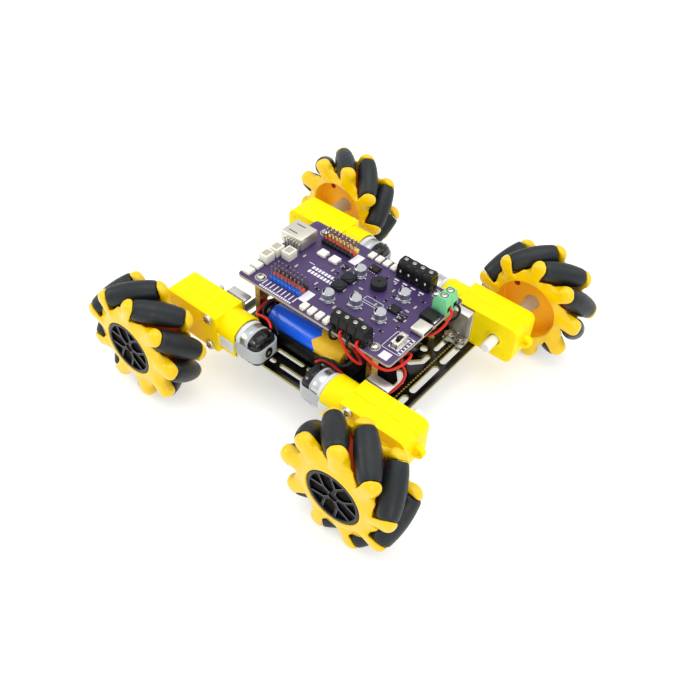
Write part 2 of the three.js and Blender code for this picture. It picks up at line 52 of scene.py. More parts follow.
# Driving dimensions, as in the CAD model
AXLE_Z = 31.5
WHEEL_BASE, WHEEL_TRACK, MOTOR_TRACK = 130.8, 157.4, 93.4
ROLLERS, ROLLER_HALF, ROLLER_RADIUS = 9, 12.0, 6.0
ROLLER_ORBIT = AXLE_Z - ROLLER_RADIUS
PLATE_TOP, PLATE_THICKNESS = 20.0, 1.6
PLATE_BOTTOM = PLATE_TOP - PLATE_THICKNESS
BOARD_BOTTOM, BOARD_TOP = 50.0, 51.6
POSTS = [(x, y) for x in (-38.5, 34.5) for y in (-25, 25)]
CELL_ROWS = (-22.5, -7.5, 7.5, 22.5)
CORNERS = {  # forward, left, the side of the slant, the turn of the first roller in degrees
    "rear_right": (-1, -1, -1, 38),
    "front_right": (1, -1, 1, 28),
    "rear_left": (-1, 1, 1, 19),
    "front_left": (1, 1, -1, 26),
}


# Places and turns

UP = (0, 0, 1)


def shift(x, y, z):
    return Matrix.Translation((x, y, z))


def spin(angle, axis="Z"):
    """A turn in degrees."""
    return Matrix.Rotation(radians(angle), 4, axis)


def along(start, direction=UP):
    """The matrix that stands a shape made along Z at a point, along a direction."""
    return shift(*start) @ Vector(direction).to_track_quat("Z", "Y").to_matrix().to_4x4()


UP_TO_OUT = spin(-90, "X")  # turns Z onto Y
SIDE_ON = spin(90, "X")  # turns a sheet's XY outline onto XZ, and its thickness onto -Y
# turns a sheet's XY outline onto YZ, and its thickness onto X
END_ON = Matrix(((0, 0, 1, 0), (1, 0, 0, 0), (0, 1, 0, 0), (0, 0, 0, 1)))


def new_object(name, data):
    item = bpy.data.objects.new(name, data)
    bpy.context.scene.collection.objects.link(item)
    return item


# Camera

def place_camera():
    azimuth, elevation, roll = (radians(a) for a in (36.73, 45.48, 3.9))
    flat = cos(elevation)
    back = Vector((sin(azimuth) * flat, -cos(azimuth) * flat, sin(elevation)))
    level = Vector((cos(azimuth), sin(azimuth), 0))
    upright = back.cross(level)
    right = level * cos(roll) + upright * sin(roll)
    up = upright * cos(roll) - level * sin(roll)
    data = bpy.data.cameras.new("camera")
    data.sensor_width, data.lens = 36, 40.38
    data.clip_start, data.clip_end = 0.01, 10
    camera = new_object("camera", data)
    turn = Matrix((right, up, back)).transposed().to_4x4()
    camera.matrix_world = Matrix.Translation(Vector((179.55, -238.01, 310.05)) * MM) @ turn
    bpy.context.scene.camera = camera


place_camera()


# Materials

def linear(red, green, blue):
    """An sRGB colour, 0 to 255, as linear red, green, blue and alpha."""
    shares = (red / 255, green / 255, blue / 255)
    return [((v + 0.055) / 1.055) ** 2.4 if v > 10 / 255 else v / 12.92 for v in shares] + [1]


def tune(node, values):
    for name, value in values.items():
        node.inputs[name].default_value = value


def finish(name, colour, roughness, shade, patch, depth, metallic=0.0, grain=0.35, streak=(1, 1, 1),
           coat=0.0, spread=0.1, specular=0.3):
    """A surface whose colour drifts between colour and a darker shade of it, with uneven roughness and a fine
    grain. patch and grain are sizes in millimetres, depth is the grain's height, and spread is how far the
    roughness strays."""
    material = bpy.data.materials.new(name)
    material.use_nodes = True
    tree = material.node_tree
    link = tree.links.new
    shader = tree.nodes["Principled BSDF"]
    level = 0.5 if metallic > 0.5 else specular
    tune(shader, {"Metallic": metallic, "Specular IOR Level": level})
    tune(shader, {"Coat Weight": coat, "Coat Roughness": 0.12})
    place = tree.nodes.new("ShaderNodeTexCoord")
    stretch = tree.nodes.new("ShaderNodeMapping")
    tune(stretch, {"Scale": streak})
    link(place.outputs["Object"], stretch.inputs["Vector"])

    def noise(size, detail):
        node = tree.nodes.new("ShaderNodeTexNoise")
        tune(node, {"Scale": 1 / (size * MM), "Detail": detail})
        link(stretch.outputs["Vector"], node.inputs["Vector"])
        return node.outputs["Fac"]

    drift = noise(patch, 4)
    mix = tree.nodes.new("ShaderNodeMix")
    mix.data_type = "RGBA"
    light = linear(*colour)
    tune(mix, {"A": [v * shade for v in light[:3]] + [1], "B": light})
    link(drift, mix.inputs["Factor"])
    link(mix.outputs["Result"], shader.inputs["Base Color"])
    rough = tree.nodes.new("ShaderNodeMapRange")
    low, high = max(0.04, roughness - spread), min(1.0, roughness + spread)
    tune(rough, {"From Min": 0.3, "From Max": 0.7, "To Min": low, "To Max": high})
    fine = noise(grain, 3)
    link(noise(patch / 3, 5), rough.inputs["Value"])
    link(rough.outputs["Result"], shader.inputs["Roughness"])
    bump = tree.nodes.new("ShaderNodeBump")
    tune(bump, {"Distance": depth * MM, "Strength": 1})
    link(fine, bump.inputs["Height"])
    link(bump.outputs["Normal"], shader.inputs["Normal"])
    return material


def metal(name, colour, roughness, shade, patch, **more):
    return finish(name, colour, roughness, shade, patch, 0.001, metallic=1, **more)


# Each as name, colour, roughness, shade, patch and depth; the metals share one depth
AMBER = finish("wheel_amber_plastic", (240, 198, 0), 0.24, 0.93, 22, 0.003, grain=0.6, coat=0.3)
ORANGE = finish("wheel_orange_core", (255, 84, 4), 0.4, 0.9, 12, 0.004, specular=0.2)
RUBBER = finish("roller_rubber", (27, 32, 35), 0.45, 0.86, 6, 0.014, grain=0.4, specular=0.35)
HUBCAP = finish("hubcap_black", (8, 8, 9), 0.3, 0.8, 3, 0.003, specular=0.12)
# Painted highlight: light grey on the bevelled edges of the hubcap spokes, standing in for the glint of light
# on them
HUBCAP_HIGHLIGHT_EDGE = finish("hubcap_painted_highlight_edge", (112, 116, 126), 0.4, 0.86, 2, 0.004)
HUBCAP_RING = finish("hubcap_ring", (17, 18, 20), 0.3, 0.86, 3, 0.004)
RECESS = finish("wheel_recess_amber", (255, 186, 20), 0.35, 0.92, 14, 0.004, specular=0.2)
COUPLER = finish("coupler_grey", (186, 180, 164), 0.35, 0.9, 3, 0.004, metallic=0.2)
SEAT = finish("wheel_screw_seat", (150, 44, 4), 0.6, 0.82, 2, 0.02, specular=0.1)
# Painted shade: near black for holes, openings and recesses, standing in for the shade inside them; also the
# printed mark on the capacitors
HOLE_SHADE_AND_PRINT = finish("painted_hole_shade_and_print", (16, 10, 8), 0.7, 0.82, 2, 0.02, specular=0.1)
SHAFT = finish("shaft_white_nylon", (240, 241, 239), 0.4, 0.95, 4, 0.004)
YELLOW = finish("gearbox_yellow_plastic", (252, 227, 0), 0.4, 0.95, 16, 0.005, grain=0.5, specular=0.1)
STRAP = finish("strap_pale_nylon", (216, 219, 221), 0.32, 0.92, 3, 0.004, coat=0.2)
STRAP_DARK = finish("strap_grey_nylon", (180, 185, 188), 0.32, 0.9, 3, 0.004, coat=0.2)
CAN = metal("motor_can_steel", (205, 207, 208), 0.3, 0.9, 6, streak=(0.2, 1, 1), spread=0.05)
END_CAP = finish("motor_cap_black", (9, 10, 12), 0.2, 0.8, 4, 0.003, specular=0.45)
SHEET = finish("bracket_satin_sheet", (222, 220, 214), 0.34, 0.93, 7, 0.0004, metallic=0.85,
               streak=(1, 1, 0.25), spread=0.05)
STEEL = metal("screw_steel", (212, 210, 202), 0.28, 0.86, 2, spread=0.06)
BRASS = metal("standoff_brass", (206, 166, 86), 0.28, 0.9, 3, spread=0.05)
PLATE = finish("plate_black_gloss", (12, 12, 9), 0.16, 0.7, 10, 0.002, grain=0.6, spread=0.05, specular=0.5)
PLATE_EDGE = finish("plate_tan_edge", (176, 166, 90), 0.55, 0.82, 2, 0.02, grain=0.3)
PLATE_RULE = finish("plate_gold_rule", (176, 150, 62), 0.4, 0.9, 1, 0.02)
BOARD = finish("board_purple_lacquer", (71, 52, 100), 0.36, 0.88, 9, 0.006, grain=0.5, specular=0.4)
# The board's edge colour, also used on the white sockets' mouths as painted shade of the recess
BOARD_EDGE_AND_MOUTH_SHADE = finish("board_glass_edge_and_mouth_shade", (182, 174, 152), 0.5, 0.85, 1.5, 0.02)
PRINT = finish("board_white_print", (228, 226, 232), 0.5, 0.95, 1.5, 0.004)
PAD = metal("board_tin_pad", (216, 216, 206), 0.28, 0.9, 1)
HEADER = {
    "black": finish("header_black", (22, 22, 24), 0.45, 0.82, 2, 0.006),
    "red": finish("header_red", (214, 70, 50), 0.4, 0.9, 2, 0.006),
    "yellow": finish("header_yellow", (236, 216, 96), 0.4, 0.92, 2, 0.006),
    "blue": finish("header_blue", (24, 98, 206), 0.38, 0.9, 2, 0.006),
}
PIN = metal("pin_gilt", (222, 210, 176), 0.24, 0.88, 1)
PIN_DARK = metal("pin_tarnished", (158, 154, 146), 0.34, 0.8, 1)
CHIP = finish("chip_black_epoxy", (17, 18, 20), 0.5, 0.8, 2, 0.008, grain=0.15)
COIL = finish("inductor_ferrite", (30, 33, 38), 0.6, 0.8, 2, 0.014, grain=0.15)
ALUMINIUM = finish("capacitor_can", (204, 206, 210), 0.3, 0.92, 3, 0.0006, metallic=0.9, spread=0.05)
WHITE = finish("connector_white", (234, 232, 220), 0.42, 0.93, 2, 0.006)
LENS = finish("light_lens", (246, 243, 228), 0.25, 0.96, 1, 0.003, coat=0.3)
TERMINAL = finish("terminal_black", (13, 15, 17), 0.34, 0.84, 3, 0.006, grain=0.3)
GREEN = finish("terminal_green", (122, 208, 150), 0.4, 0.88, 3, 0.008, grain=0.3)
SOCKET = finish("socket_tinned_steel", (222, 219, 206), 0.32, 0.92, 4, 0.001, metallic=0.8, spread=0.06)
HOLDER = finish("holder_black_plastic", (14, 14, 15), 0.42, 0.82, 5, 0.008, specular=0.25)
CELL_BLUE = finish("cell_blue_wrap", (34, 108, 255), 0.22, 0.9, 8, 0.002, coat=0.5, spread=0.04)
CELL_GOLD = finish("cell_gold_wrap", (255, 204, 36), 0.26, 0.88, 6, 0.002, coat=0.3)
SPRING = metal("contact_spring", (200, 200, 196), 0.25, 0.9, 2)
LEAD_RED = finish("lead_red", (208, 28, 13), 0.35, 0.92, 3, 0.004)
LEAD_BLACK = finish("lead_black", (18, 18, 19), 0.35, 0.82, 3, 0.004)
FLOOR = finish("floor_pale", (206, 206, 204), 0.8, 0.99, 60, 0.01, grain=2, specular=0.2)


# Shapes: each is a bmesh in millimetres

def taken(mesh):
    """A bmesh from a mesh that is then dropped."""
    shape = bmesh.new()
    shape.from_mesh(mesh)
    bpy.data.meshes.remove(mesh)
    return shape


def moved(shape, matrix):
    bmesh.ops.transform(shape, matrix=matrix, verts=shape.verts)
    return shape


def box(corner, opposite, bevel=0.2, segments=2):
    """A box between two opposite corners, given in any order."""
    low, high = Vector(map(min, corner, opposite)), Vector(map(max, corner, opposite))
    shape = bmesh.new()
    bmesh.ops.create_cube(shape, size=1)
    bmesh.ops.scale(shape, vec=high - low, verts=shape.verts)
    bmesh.ops.translate(shape, vec=(low + high) / 2, verts=shape.verts)
    if bevel:
        bmesh.ops.bevel(shape, geom=list(shape.edges), offset=bevel, segments=segments, profile=0.5,
                        affect="EDGES", clamp_overlap=True)
    return shape


def turned(profile, segments=32, loop=False):
    """A solid of revolution about Z through (radius, height) points, from the bottom up along its outside."""
    shape = bmesh.new()
    rings = []
    for radius, height in profile:
        count = segments if radius > 0 else 1
        angles = [2 * pi * i / segments for i in range(count)]
        rings.append([shape.verts.new((radius * cos(a), radius * sin(a), height)) for a in angles])
    for lower, upper in zip(rings, rings[1:] + (rings[:1] if loop else [])):
        for i in range(segments):
            j = (i + 1) % segments
            low, high = len(lower), len(upper)
            corners = list(dict.fromkeys([lower[i % low], lower[j % low], upper[j % high], upper[i % high]]))
            if len(corners) > 2:
                shape.faces.new(corners)
    bmesh.ops.recalc_face_normals(shape, faces=shape.faces)
    return shape


def disc(radius, low, high, segments=24):
    return turned([(0, low), (radius, low), (radius, high), (0, high)], segments)


def rod(start, end, radius, bevel=0.15, segments=24):
    way = Vector(end) - Vector(start)
    length = way.length
    profile = [(0, 0), (radius - bevel, 0), (radius, bevel), (radius, length - bevel),
               (radius - bevel, length), (0, length)]
    return moved(turned(profile, segments), along(start, way))


def sheet(outlines, thickness, bevel=0.15, rounds=1):
    """A flat piece on z 0 to thickness; the first outline is its edge and the others are holes."""
    curve = bpy.data.curves.new("outline", "CURVE")
    curve.dimensions, curve.fill_mode = "2D", "BOTH"
    curve.extrude, curve.offset = thickness / 2 - bevel, -bevel
    curve.bevel_depth, curve.bevel_resolution = bevel, rounds
    for points in outlines:
        spline = curve.splines.new("POLY")
        spline.points.add(len(points) - 1)
        for target, (x, y) in zip(spline.points, points):
            target.co = (x, y, 0, 1)
        spline.use_cyclic_u = True
    holder = bpy.data.objects.new("outline", curve)
    shape = taken(bpy.data.meshes.new_from_object(holder))
    bpy.data.objects.remove(holder)
    bmesh.ops.remove_doubles(shape, verts=shape.verts, dist=0.001)
    bmesh.ops.translate(shape, vec=(0, 0, thickness / 2), verts=shape.verts)
    bmesh.ops.recalc_face_normals(shape, faces=shape.faces)
    return shape


def arc(x, y, radius, start, end, steps=8):
    """Points round a centre, between two angles in degrees."""
    angles = [radians(start + (end - start) * i / steps) for i in range(steps + 1)]
    return [(x + radius * cos(a), y + radius * sin(a)) for a in angles]


def circle(x, y, radius, steps=24):
    return arc(x, y, radius, 0, 360, steps)[:-1]


def rounded_rectangle(x0, y0, x1, y1, radius, steps=6):
    left, right, near, far = x0 + radius, x1 - radius, y0 + radius, y1 - radius
    corners = [(right, near, -90), (right, far, 0), (left, far, 90), (left, near, 180)]
    return [point for x, y, start in corners for point in arc(x, y, radius, start, start + 90, steps)]


def slot(start, end, width):
    """The outline of a slot with round ends between the centres of its ends."""
    turn = degrees(atan2(end[1] - start[1], end[0] - start[0]))
    return arc(*end, width / 2, turn - 90, turn + 90) + arc(*start, width / 2, turn + 90, turn + 270)


def smooth_min(a, b, blend):
    mix = np.clip(0.5 + 0.5 * (b - a) / blend, 0, 1)
    return b + (a - b) * mix - blend * mix * (1 - mix)


def smooth_max(a, b, blend):
    return -smooth_min(-a, -b, blend)


def capsule(x, y, z, start, end, thick, thin):
    """Distance to a round bar from start, of radius thick, to end, of radius thin."""
    start, end = np.array(start), np.array(end)
    way = end - start
    share = ((x - start[0]) * way[0] + (y - start[1]) * way[1] + (z - start[2]) * way[2]) / way.dot(way)
    share = np.clip(share, 0, 1)
    away = [c - s - share * w for c, s, w in zip((x, y, z), start, way)]
    return np.sqrt(away[0] ** 2 + away[1] ** 2 + away[2] ** 2) - (thick + (thin - thick) * share)


def skin(field, origin, step):
    """The zero surface of a field sampled on a grid, negative inside, as a bmesh of quads (surface nets)."""
    corners = [(i, j, k) for i in (0, 1) for j in (0, 1) for k in (0, 1)]
    cells = tuple(n - 1 for n in field.shape)

    def at(corner):
        return field[tuple(slice(c, c + n) for c, n in zip(corner, cells))]

    total, count = np.zeros(cells + (3,), np.float32), np.zeros(cells, np.float32)
    for a in corners:
        for axis in range(3):
            if a[axis]:
                continue
            b = tuple(c + (i == axis) for i, c in enumerate(a))
            fa, fb = at(a), at(b)
            crossing = (fa < 0) != (fb < 0)
            share = np.where(crossing, fa / np.where(crossing, fa - fb, 1), 0)
            for i in range(3):
                total[..., i] += crossing * (a[i] + (share if i == axis else 0))
            count += crossing
    used = count > 0
    index = np.full(cells, -1)
    index[used] = np.arange(used.sum())
    points = (np.argwhere(used) + total[used] / count[used][:, None]) * step + origin
    faces = []
    inside = field < 0
    for axis in range(3):
        other = [i for i in range(3) if i != axis]
        near = [slice(1, n) for n in cells]
        near[axis] = slice(0, cells[axis])
        far = list(near)
        far[axis] = slice(1, cells[axis] + 1)
        first, second = inside[tuple(near)], inside[tuple(far)]
        for flip, chosen in ((False, first & ~second), (True, ~first & second)):
            at_cell = np.argwhere(chosen)
            for i in other:
                at_cell[:, i] += 1
            ring = []
            for du, dv in ((1, 1), (0, 1), (0, 0), (1, 0)):
                cell = at_cell.copy()
                cell[:, other[0]] -= du
                cell[:, other[1]] -= dv
                ring.append(index[tuple(cell.T)])
            quads = np.stack(ring, 1)
            faces.append(quads[:, ::-1] if flip != (axis == 1) else quads)
    mesh = bpy.data.meshes.new("skin")
    mesh.from_pydata(points.tolist(), [], np.concatenate(faces).tolist())
    return taken(mesh)


def thinned(shape, ratio):
    """The same surface, smoothed a little, with ratio of its faces."""
    mesh = bpy.data.meshes.new("dense")
    shape.to_mesh(mesh)
    shape.free()
    holder = new_object("dense", mesh)
    smoother = holder.modifiers.new("smoother", "SMOOTH")
    smoother.factor, smoother.iterations = 0.5, 2
    holder.modifiers.new("thinner", "DECIMATE").ratio = ratio
    thin = bpy.data.meshes.new_from_object(holder.evaluated_get(bpy.context.evaluated_depsgraph_get()))
    bpy.data.objects.remove(holder)
    bpy.data.meshes.remove(mesh)
    return taken(thin)


# Pieces

class Piece:
    """One Blender piece gathered from shapes, each with its own material."""

    def __init__(self):
        self.whole = bmesh.new()
        self.materials = []

    def slot_of(self, material):
        if material not in self.materials:
            self.materials.append(material)
        return self.materials.index(material)

    def add(self, shape, material, matrix=None, edge=None, side=None):
        """edge paints the faces that look along no axis, and side those that don't look along Z."""
        index = self.slot_of(material)
        for face in shape.faces:
            face.material_index = index
            if edge and max(abs(v) for v in face.normal) < 0.95:
                face.material_index = self.slot_of(edge)
            if side and abs(face.normal.z) < 0.9:
                face.material_index = self.slot_of(side)
        if matrix:
            moved(shape, matrix)
        mesh = bpy.data.meshes.new("shape")
        shape.to_mesh(mesh)
        shape.free()
        self.whole.from_mesh(mesh)
        bpy.data.meshes.remove(mesh)

    def box(self, material, *shape):
        self.add(box(*shape), material)

    def on_board(self, material, *shape):
        self.add(on_board(*shape), material)

    def mesh(self, name, angle=35):
        bmesh.ops.scale(self.whole, vec=(MM, MM, MM), verts=self.whole.verts)
        mesh = bpy.data.meshes.new(name)
        self.whole.to_mesh(mesh)
        self.whole.free()
        for material in self.materials:
            mesh.materials.append(material)
        mesh.polygons.foreach_set("use_smooth", [True] * len(mesh.polygons))
        mesh.set_sharp_from_angle(angle=radians(angle))
        return mesh


def put(name, data, body, replaced=(), matrix=None):
    """Makes the object where matrix, in millimetres, takes it, and lets it ride on a CAD body."""
    if matrix:
        data = data.copy()
        data.transform(Matrix.Translation(matrix.to_translation() * MM) @ matrix.to_3x3().to_4x4())
    item = new_object(name, data)
    bpy.context.view_layer.update()
    if replaced:
        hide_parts(*replaced)
    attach(item, body)


def fix(piece, name, slot_name, *replaced):
    """Puts a piece on the chassis where it was built."""
    put(name, piece.mesh(name), "chassis", replaced)


def screw(piece, at, direction=UP, radius=2.8, height=1.9, turns=(20, 110)):
    """A pan head standing on a point, with a near black bar of painted shade as the recess for each of the
    turns.
    """
    place = along(at, direction)
    head = [(0, 0), (radius, 0), (radius, height * 0.35), (radius * 0.86, height * 0.75),
            (radius * 0.5, height), (0, height)]
    piece.add(turned(head, 24), STEEL, place)
    arm, half = radius * 0.55, radius * 0.1
    for turn in turns:
        recess = box((-arm, -half, height - 0.2), (arm, half, height + 0.03), 0.03, 1)
        piece.add(recess, HOLE_SHADE_AND_PRINT, place @ spin(turn))


def nut(piece, at):
    radius, height = 3.1, 2.4
    profile = [(0, 0), (radius, 0), (radius, height - 0.4), (radius * 0.88, height), (0, height)]
    piece.add(turned(profile, 6), STEEL, along(at))


def add_bar(piece, outlines, start, length, material, bevel, rounds=1):
    """Adds a bar whose outline lies in YZ, from x = start towards +X."""
    piece.add(sheet(outlines, length, bevel, rounds), material, shift(start, 0, 0) @ END_ON)


# Mecanum wheels. In a wheel's own frame Y is the axle and +Y points away from the chassis.

HALF_ROOT = sqrt(0.5)


def wheel_plates(slant):
    """Both lobed plates of a wheel: a coned ring with a thumb of plastic behind each roller's end."""
    step, reach, half_width = 0.45, 33, 14
    across = np.arange(-reach, reach, step)
    depth = np.arange(-half_width, half_width, step)
    x, y, z = np.meshgrid(across, depth, across, indexing="ij")
    radius, out = np.hypot(x, z), np.abs(y)
    cone = out - (12.3 - 0.3 * np.maximum(radius - 15.5, 0))
    plates = smooth_max(smooth_max(radius - 23.4, 8.5 - out, 0.8), cone, 1.2)
    rollers = np.full_like(x, 99.0)
    lobes = np.full_like(x, 99.0)
    for i in range(ROLLERS):
        angle = 2 * pi * i / ROLLERS
        high = x * cos(angle) + z * sin(angle)
        round_ = z * cos(angle) - x * sin(angle)
        axial = HALF_ROOT * (y + slant * round_)
        side = HALF_ROOT * (round_ - slant * y)
        for end in (-1, 1):
            nose = (ROLLER_ORBIT - 0.7, end * 8.4, end * slant * 8.8)
            root = (16, end * 5.2, end * slant * 4.8)
            thumb = capsule(high, y, round_, nose, root, 5.2, 7.2)
            lobes = np.minimum(lobes, smooth_max(thumb, ROLLER_HALF + 0.3 - end * axial, 0.6))
        barrel = np.hypot(high - ROLLER_ORBIT, side) - 6.3
        rollers = np.minimum(rollers, np.maximum(barrel, np.abs(axial) - ROLLER_HALF - 0.3))
    lobes = smooth_max(smooth_max(lobes, out - 12.6, 2), radius - 31.2, 1)
    lobes = smooth_max(smooth_max(lobes, 6.2 - out, 1.5), 19.4 - radius, 2)
    plates = smooth_min(plates, lobes, 3)
    plates = np.maximum(plates, -rollers)
    outer_hole, inner_hole = 14.6, 17.2
    plates = smooth_max(plates, np.where(y > 0, outer_hole, inner_hole) - radius, 0.7)
    return thinned(skin(plates, np.array([-reach, -half_width, -reach]), step), 0.3)


def hubcap(piece):
    """The black cover: a ring and five forked spokes with painted highlights on their bevels, over a dish of
    painted shade.
    """
    # The dish behind the spokes is painted shade of the recess
    piece.add(disc(14.3, 9.6, 10.4, 48), HOLE_SHADE_AND_PRINT, UP_TO_OUT)
    ring = [(12.6, 9.8), (14.45, 9.8), (14.45, 11.7), (14.1, 12.05), (12.9, 12.05), (12.6, 11.75)]
    piece.add(turned(ring, 64, loop=True), HUBCAP_RING, UP_TO_OUT)
    boss = [(0, 10), (3.2, 10), (3.2, 11.2), (2.9, 11.5), (2.1, 11.5), (1.9, 10.9), (0, 10.9)]
    piece.add(turned(boss, 32), HUBCAP, UP_TO_OUT)
    # The bevel faces of each stem and arm take the light grey painted highlight
    for spoke in range(5):
        turn = spin(72 * spoke)
        stem = box((2.6, -0.9, 10.2), (6.9, 0.9, 11.7), 0.16, 1)
        piece.add(stem, HUBCAP, UP_TO_OUT @ turn, edge=HUBCAP_HIGHLIGHT_EDGE)
        for side in (-1, 1):
            fork = turn @ shift(6.2, side * 0.3, 0) @ spin(side * 34)
            arm = box((-0.3, -0.6, 10.2), (7.4, 0.6, 11.65), 0.16, 1)
            piece.add(arm, HUBCAP, UP_TO_OUT @ fork, edge=HUBCAP_HIGHLIGHT_EDGE)


def wheel_core():
    """The barrel between the plates, with its dished inner side, coupler and white output shaft."""
    piece = Piece()
    barrel = [(17.9, -9.4), (18.7, -9.4), (18.7, 9.6), (17.9, 9.6)]
    piece.add(turned(barrel, 72, loop=True), ORANGE, UP_TO_OUT)
    recess = [(0, -3), (16.4, -3), (17.1, -3.7), (17.1, -9.6), (17.5, -10.4), (18, -9.6), (18, 9.5),
              (0, 9.5)]
    piece.add(turned(recess, 72), RECESS, UP_TO_OUT)
    for i in range(3):
        piece.add(disc(1.7, -3.1, -2.65, 20), SEAT, UP_TO_OUT @ spin(120 * i) @ shift(13.2, 0, 0))
    collar = [(0, -19), (3.3, -19), (3.7, -18.5), (3.7, -4.2), (4.4, -3), (0, -3)]
    piece.add(turned(collar, 32), COUPLER, UP_TO_OUT)
    stub = -(WHEEL_TRACK - MOTOR_TRACK) / 2 - 9.4 - 9.1
    shaft = [(0, stub), (2.3, stub), (2.7, stub + 0.4), (2.7, -18), (0, -18)]
    piece.add(turned(shaft, 28), SHAFT, UP_TO_OUT)
    hubcap(piece)
    return piece.mesh("wheel_core")


def roller_mesh():
    """A rubber barrel about Y whose outside touches the wheel's outer circle along its length."""
    stations = [ROLLER_HALF * (-1 + 2 * i / 16) for i in range(17)]
    barrel = [(AXLE_Z - hypot(ROLLER_ORBIT, s * HALF_ROOT), s) for s in stations]
    lip, face, rim, dent = barrel[0][0], 12, 11.5, 11.4
    barrel[0], barrel[-1] = (lip, -rim), (lip, rim)
    bottom = [(0, -dent), (2.2, -dent), (2.5, -face), (lip - 0.5, -face)]
    top = [(r, -h) for r, h in reversed(bottom)]
    piece = Piece()
    piece.add(turned(bottom + barrel + top, 40), RUBBER, UP_TO_OUT)
    return piece.mesh("roller", 40)


def station(index, slant):
    """Where a roller sits in the wheel's frame."""
    return spin(-360 / ROLLERS * index, "Y") @ shift(ROLLER_ORBIT, 0, 0) @ spin(slant * 45, "X")


def pins(slant):
    piece = Piece()
    for i in range(ROLLERS):
        piece.add(rod((0, -13.4, 0), (0, 13.4, 0), 0.95, 0.1, 12), STEEL, station(i, slant))
    return piece.mesh("roller_pins")


def make_wheels():
    core, roller = wheel_core(), roller_mesh()
    plates, pin_sets = {}, {}
    for slant in (-1, 1):
        piece = Piece()
        piece.add(wheel_plates(slant), AMBER)
        plates[slant] = piece.mesh("wheel_plates", 50)
        pin_sets[slant] = pins(slant)
    for name, (forward, left, slant, turn) in CORNERS.items():
        body, paint = f"wheel_{name}", "amber_wheel"
        centre = shift(forward * WHEEL_BASE / 2, left * WHEEL_TRACK / 2, AXLE_Z)
        place = centre @ spin(0 if left > 0 else 180) @ spin(-turn, "Y")
        put(f"wheel_plates_{name}", plates[slant], body, [f"wheel_hub_{name}"], place)
        put(f"wheel_core_{name}", core, body, matrix=place)
        put(f"wheel_pins_{name}", pin_sets[slant], body, matrix=place)
        for i in range(ROLLERS):
            node = f"roller_{name}_{i + 1}"
            put(f"rubber_{name}_{i + 1}", roller, node, [node], place @ station(i, slant))


# Gear motors. In their own frame the output shaft runs along Y through the origin and the motor lies
# towards -X. The housing is flat on both of its Y sides.

HOUSING_FLAT = 9.4
SCREW_X, SCREW_Z = -20.6, 8.75


def flattened(radius, flat, steps=40):
    """The outline, in YZ, of a round bar with a flat on both sides."""
    points = []
    for i in range(steps):
        a = 2 * pi * i / steps
        y, z = radius * cos(a), radius * sin(a)
        if abs(y) > flat:
            y = copysign(flat, y)
            z = copysign(min(abs(z), sqrt(radius ** 2 - flat ** 2)), z)
        points.append((y, z))
    return points


def gearbox_mesh():
    piece = Piece()
    outer, back, half, corner = 11.3, -25.7, 11.2, 4
    side = arc(outer - corner, -half + corner, corner, -90, 0, 6)
    side += arc(outer - corner, half - corner, corner, 0, 90, 6) + [(back, half), (back, -half)]
    bore = circle(0, 0, 3.2, 24)
    screws = [circle(SCREW_X, z, 1.75, 16) for z in (-SCREW_Z, SCREW_Z)]
    for low, high in ((-HOUSING_FLAT, 0.02), (0.06, HOUSING_FLAT)):
        piece.add(sheet([side, bore, *screws], high - low, 0.3, 3), YELLOW, shift(0, high, 0) @ SIDE_ON)
    for way in (-1, 1):
        y = way * HOUSING_FLAT
        boss = [(3.3, -0.3), (4.7, -0.3), (4.7, 0.35), (4.5, 0.55), (3.5, 0.55), (3.3, 0.35)]
        piece.add(turned(boss, 32, loop=True), YELLOW, along((0, y, 0), (0, way, 0)))
        for x, z in ((7.2, -7.4), (7.2, 7.4), (-13, -8.6), (-13, 8.6)):
            piece.add(rod((x, y - way * 0.3, z), (x, y + way * 0.25, z), 1.1, 0.1, 16), YELLOW)
        for x in (-24.6, -16.4):
            piece.box(YELLOW, (x - 0.35, y, -6.4), (x + 0.35, y + way * 0.3, 6.4), 0.1, 1)
    tongue = [(-0.6, -3.5), (1.5, -3.5)] + arc(1.5, 0, 3.5, -90, 90, 12) + [(-0.6, 3.5)]
    piece.add(sheet([tongue, circle(1.9, 0, 1.5, 16)], 3, 0.3), YELLOW, shift(outer, 1.5, 0) @ SIDE_ON)
    add_bar(piece, [flattened(11.2, HOUSING_FLAT), flattened(10.25, 7.8)], back - 11.7, 12.2, YELLOW, 0.35)
    for way in (-1, 1):
        y = way * (HOUSING_FLAT + 0.02)
        piece.box(STRAP, (-37.6, y, -3.2), (-27.2, y + way * 0.75, 3.2), 0.25)
        piece.box(YELLOW, (-28.4, y, -3.9), (-26.9, y + way * 1.3, 3.9), 0.3)
    return piece.mesh("gearbox")


def motor_strap(cap_end):
    """The outline, in XY, of the band that runs along both flats and round the end cap."""
    end, corner = cap_end - 1, 4.6
    outer = [(-37.7, 8.5)] + arc(end + corner, 8.5 - corner, corner, 90, 180, 8)
    inner = [(-37.7, 7.5)] + arc(end + corner, 8.5 - corner, corner - 1, 90, 180, 8)
    whole = outer + [(x, -y) for x, y in reversed(outer)]
    return whole + [(x, -y) for x, y in inner] + [(x, y) for x, y in reversed(inner)]


